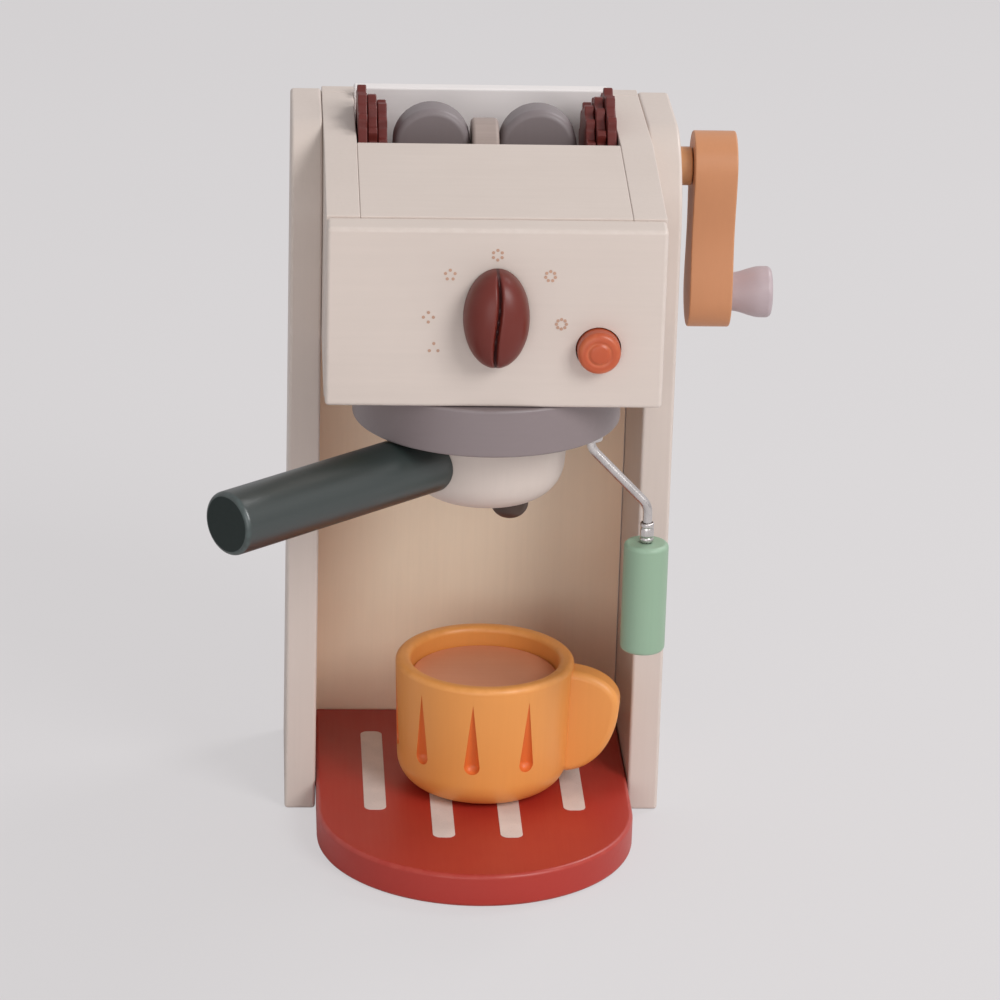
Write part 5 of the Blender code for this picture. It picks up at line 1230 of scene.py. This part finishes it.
cup_orange = satin_paint("cup_orange", CUP_ORANGE, CUP_RUBBED, "Z", 0.40)
flute_orange = satin_paint("flute_orange", FLUTE_ORANGE, shade(FLUTE_ORANGE, 1.2), "Z", 0.42)
cup_low, cup_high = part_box("cup")
coffee_low, coffee_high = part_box("coffee_insert")
cup_x, cup_y, _ = middle_of(coffee_low, coffee_high)
cup_radius = (cup_high.y - cup_low.y) / 2
cup_height = cup_high.z - cup_low.z
foot = cup_radius - CUP_TAPER * (1.0 - CUP_FOOT_ROUND / cup_height)
inner = cup_radius - CUP_WALL
ledge = coffee_low.z - FIT_GAP - cup_low.z
profile = plain((0.0, 0.0), *corner((foot - CUP_FOOT_ROUND, CUP_FOOT_ROUND), CUP_FOOT_ROUND, -90, 0, 20))
profile += bead((cup_radius - CUP_RIM_ROUND, cup_height - CUP_RIM_ROUND), CUP_RIM_ROUND, 0, 90, 8)
profile += bead((inner + CUP_RIM_ROUND, cup_height - CUP_RIM_ROUND), CUP_RIM_ROUND, 90, 180, 8)
profile += plain((inner, ledge), (inner - CUP_LEDGE, ledge), (inner - CUP_LEDGE, CUP_FLOOR), (0.0, CUP_FLOOR))
cup = turn_piece("cup_turned", profile, 144, (cup_x, cup_y, cup_low.z), (0, 0, 1), cup_orange)
outline = []
for across, up in corner((0.0, 0.0), 1.0, -90, 90, 64):
    outline.append((across * EAR_REACH, up * (EAR_RISE if up > 0.0 else EAR_DROP)))
ear = saw_board(outline, "Y", -EAR_THICKNESS / 2, EAR_THICKNESS / 2)
sharp = [edge for edge in ear.edges if edge.calc_face_angle(0.0) > SHARPER_THAN]
ease_edges(ear, EAR_ROUND, 6, [edge for edge in sharp if edge.calc_length() < EAR_RISE])
middle = Vector((cup_x, cup_y, cup_low.z + cup_height * EAR_HEIGHT_SHARE))
turn = Matrix.Rotation(math.radians(EAR_TURN), 4, "Z")
ear.transform(Matrix.Translation(middle) @ turn @ Matrix.Translation((EAR_ROOT, 0.0, 0.0)))
drill(cup, ear, "UNION")
for number in range(FLUTES_A_SIDE * 2):
    way = 1.0 if number < FLUTES_A_SIDE else -1.0
    angle = math.radians(way * (FLUTE_FIRST + FLUTE_PITCH * (number % FLUTES_A_SIDE)) + EAR_TURN)
    ends = []
    for share in (FLUTE_LOW_SHARE, FLUTE_HIGH_SHARE):
        reach = cup_radius - CUP_TAPER * (1.0 - share)
        x, y = cup_x + reach * math.cos(angle), cup_y + reach * math.sin(angle)
        ends.append(Vector((x, y, cup_low.z + cup_height * share)))
    along = ends[1] - ends[0]
    profile = plain(*corner((0.0, FLUTE_RADIUS), FLUTE_RADIUS, -90, 0, 10), (0.0, along.length))
    drill(cup, lathe(profile, 40, ends[0], along), inside=flute_orange)
fit_piece(cup, "cup", "cup")

# Coffee
# A loose disc turned to drop on the ledge inside the cup, with both its rims rounded, and painted
# milky brown.
COFFEE_EASE = 0.0009
COFFEE = (0.740, 0.300, 0.165)

coffee_paint = satin_paint("coffee_paint", COFFEE, shade(COFFEE, 1.25), "X", 0.36)
profile = rod((coffee_high.x - coffee_low.x) / 2, coffee_high.z - coffee_low.z, COFFEE_EASE)
disc = turn_piece("coffee_disc", profile, 80, (cup_x, cup_y, coffee_low.z), (0, 0, 1), coffee_paint)
fit_piece(disc, "coffee_disc", "coffee_insert")

# Studio
# A pale seamless floor, a soft key lamp high at the right, a weak one low in front and a small
# one behind the right shoulder. The camera sees the floor as an even pale grey.
FLOOR_GREY = (0.719, 0.697, 0.705)
FLOOR_REACH = 10.0
FLOOR_EVENNESS = 0.72
FLOOR_CLOUD_FINE = 3.0
FLOOR_DULLNESS = 0.9
AMBIENT = 0.45
TARGET = Vector((0.0, 0.0, 0.12))
LAMPS = (
    ("key_lamp", (1.08, -1.33, 1.30), 1.00, 21.0),
    ("front_lamp", (-0.45, -2.05, 0.40), 1.20, 7.0),
    ("rim_lamp", (1.00, 0.72, 1.45), 0.60, 9.5),
)
CAMERA_YAW = 3.48
CAMERA_PITCH = 20.62
CAMERA_ROLL = 1.65
CAMERA_DISTANCE = 1.548
CAMERA_AIM = Vector((0.00728, 0.0, 0.11971))
LENS = 158.0
FILM_WIDTH = 36.0

grey, tree, place = start_finish("studio_grey")
shader = tree.nodes["Principled BSDF"].inputs
cloud = noise(tree, place, FLOOR_CLOUD_FINE)
seen = node(tree, "ShaderNodeLightPath").outputs["Is Camera Ray"]
evened = sums(tree, "MULTIPLY", seen, FLOOR_EVENNESS)
paper = tint(tree, cloud, shade(FLOOR_GREY, 0.99), shade(FLOOR_GREY, 1.01))
tree.links.new(tint(tree, evened, paper, (0.0, 0.0, 0.0)), shader["Base Color"])
tree.links.new(paper, shader["Emission Color"])
tree.links.new(evened, shader["Emission Strength"])
shader["Roughness"].default_value = FLOOR_DULLNESS
shader["Specular IOR Level"].default_value = 0.0
bm = bmesh.new()
bmesh.ops.create_circle(bm, cap_ends=True, radius=FLOOR_REACH, segments=96)
blank("studio_floor", bm, grey)

world = bpy.data.worlds.new("studio")
bpy.context.scene.world = world
world.use_nodes = True
tree = world.node_tree
backdrop = tree.nodes["Background"].inputs
seen = node(tree, "ShaderNodeLightPath").outputs
mirrored = sums(tree, "MAXIMUM", seen["Is Glossy Ray"], seen["Is Transmission Ray"])
straight = sums(tree, "MAXIMUM", seen["Is Camera Ray"], mirrored)
tree.links.new(tint(tree, straight, (AMBIENT, AMBIENT, AMBIENT), FLOOR_GREY), backdrop["Color"])
backdrop["Strength"].default_value = 1.0

for name, place, width, power in LAMPS:
    lamp = bpy.data.lights.new(name, "AREA")
    lamp.shape, lamp.size, lamp.energy = "DISK", width, power
    holder = bpy.data.objects.new(name, lamp)
    bpy.context.scene.collection.objects.link(holder)
    holder.location = place
    holder.visible_camera = False
    holder.rotation_euler = (TARGET - Vector(place)).to_track_quat("-Z", "Y").to_euler()

yaw, pitch, roll = (math.radians(a) for a in (CAMERA_YAW, CAMERA_PITCH, CAMERA_ROLL))
ahead = Vector((math.sin(yaw) * math.cos(pitch), math.cos(yaw) * math.cos(pitch), -math.sin(pitch)))
right = Vector((math.cos(yaw), -math.sin(yaw), 0.0))
up = right.cross(ahead)
turned_right = right * math.cos(roll) + up * math.sin(roll)
turned_up = up * math.cos(roll) - right * math.sin(roll)
lens = bpy.data.cameras.new("camera")
lens.lens = LENS
lens.sensor_width = FILM_WIDTH
lens.clip_start = 0.05
camera = bpy.data.objects.new("camera", lens)
bpy.context.scene.collection.objects.link(camera)
axes = Matrix((turned_right, turned_up, -ahead)).transposed().to_4x4()
camera.matrix_world = Matrix.Translation(CAMERA_AIM - ahead * CAMERA_DISTANCE) @ axes
bpy.context.scene.camera = camera
bpy.context.scene.view_settings.view_transform = "Standard"
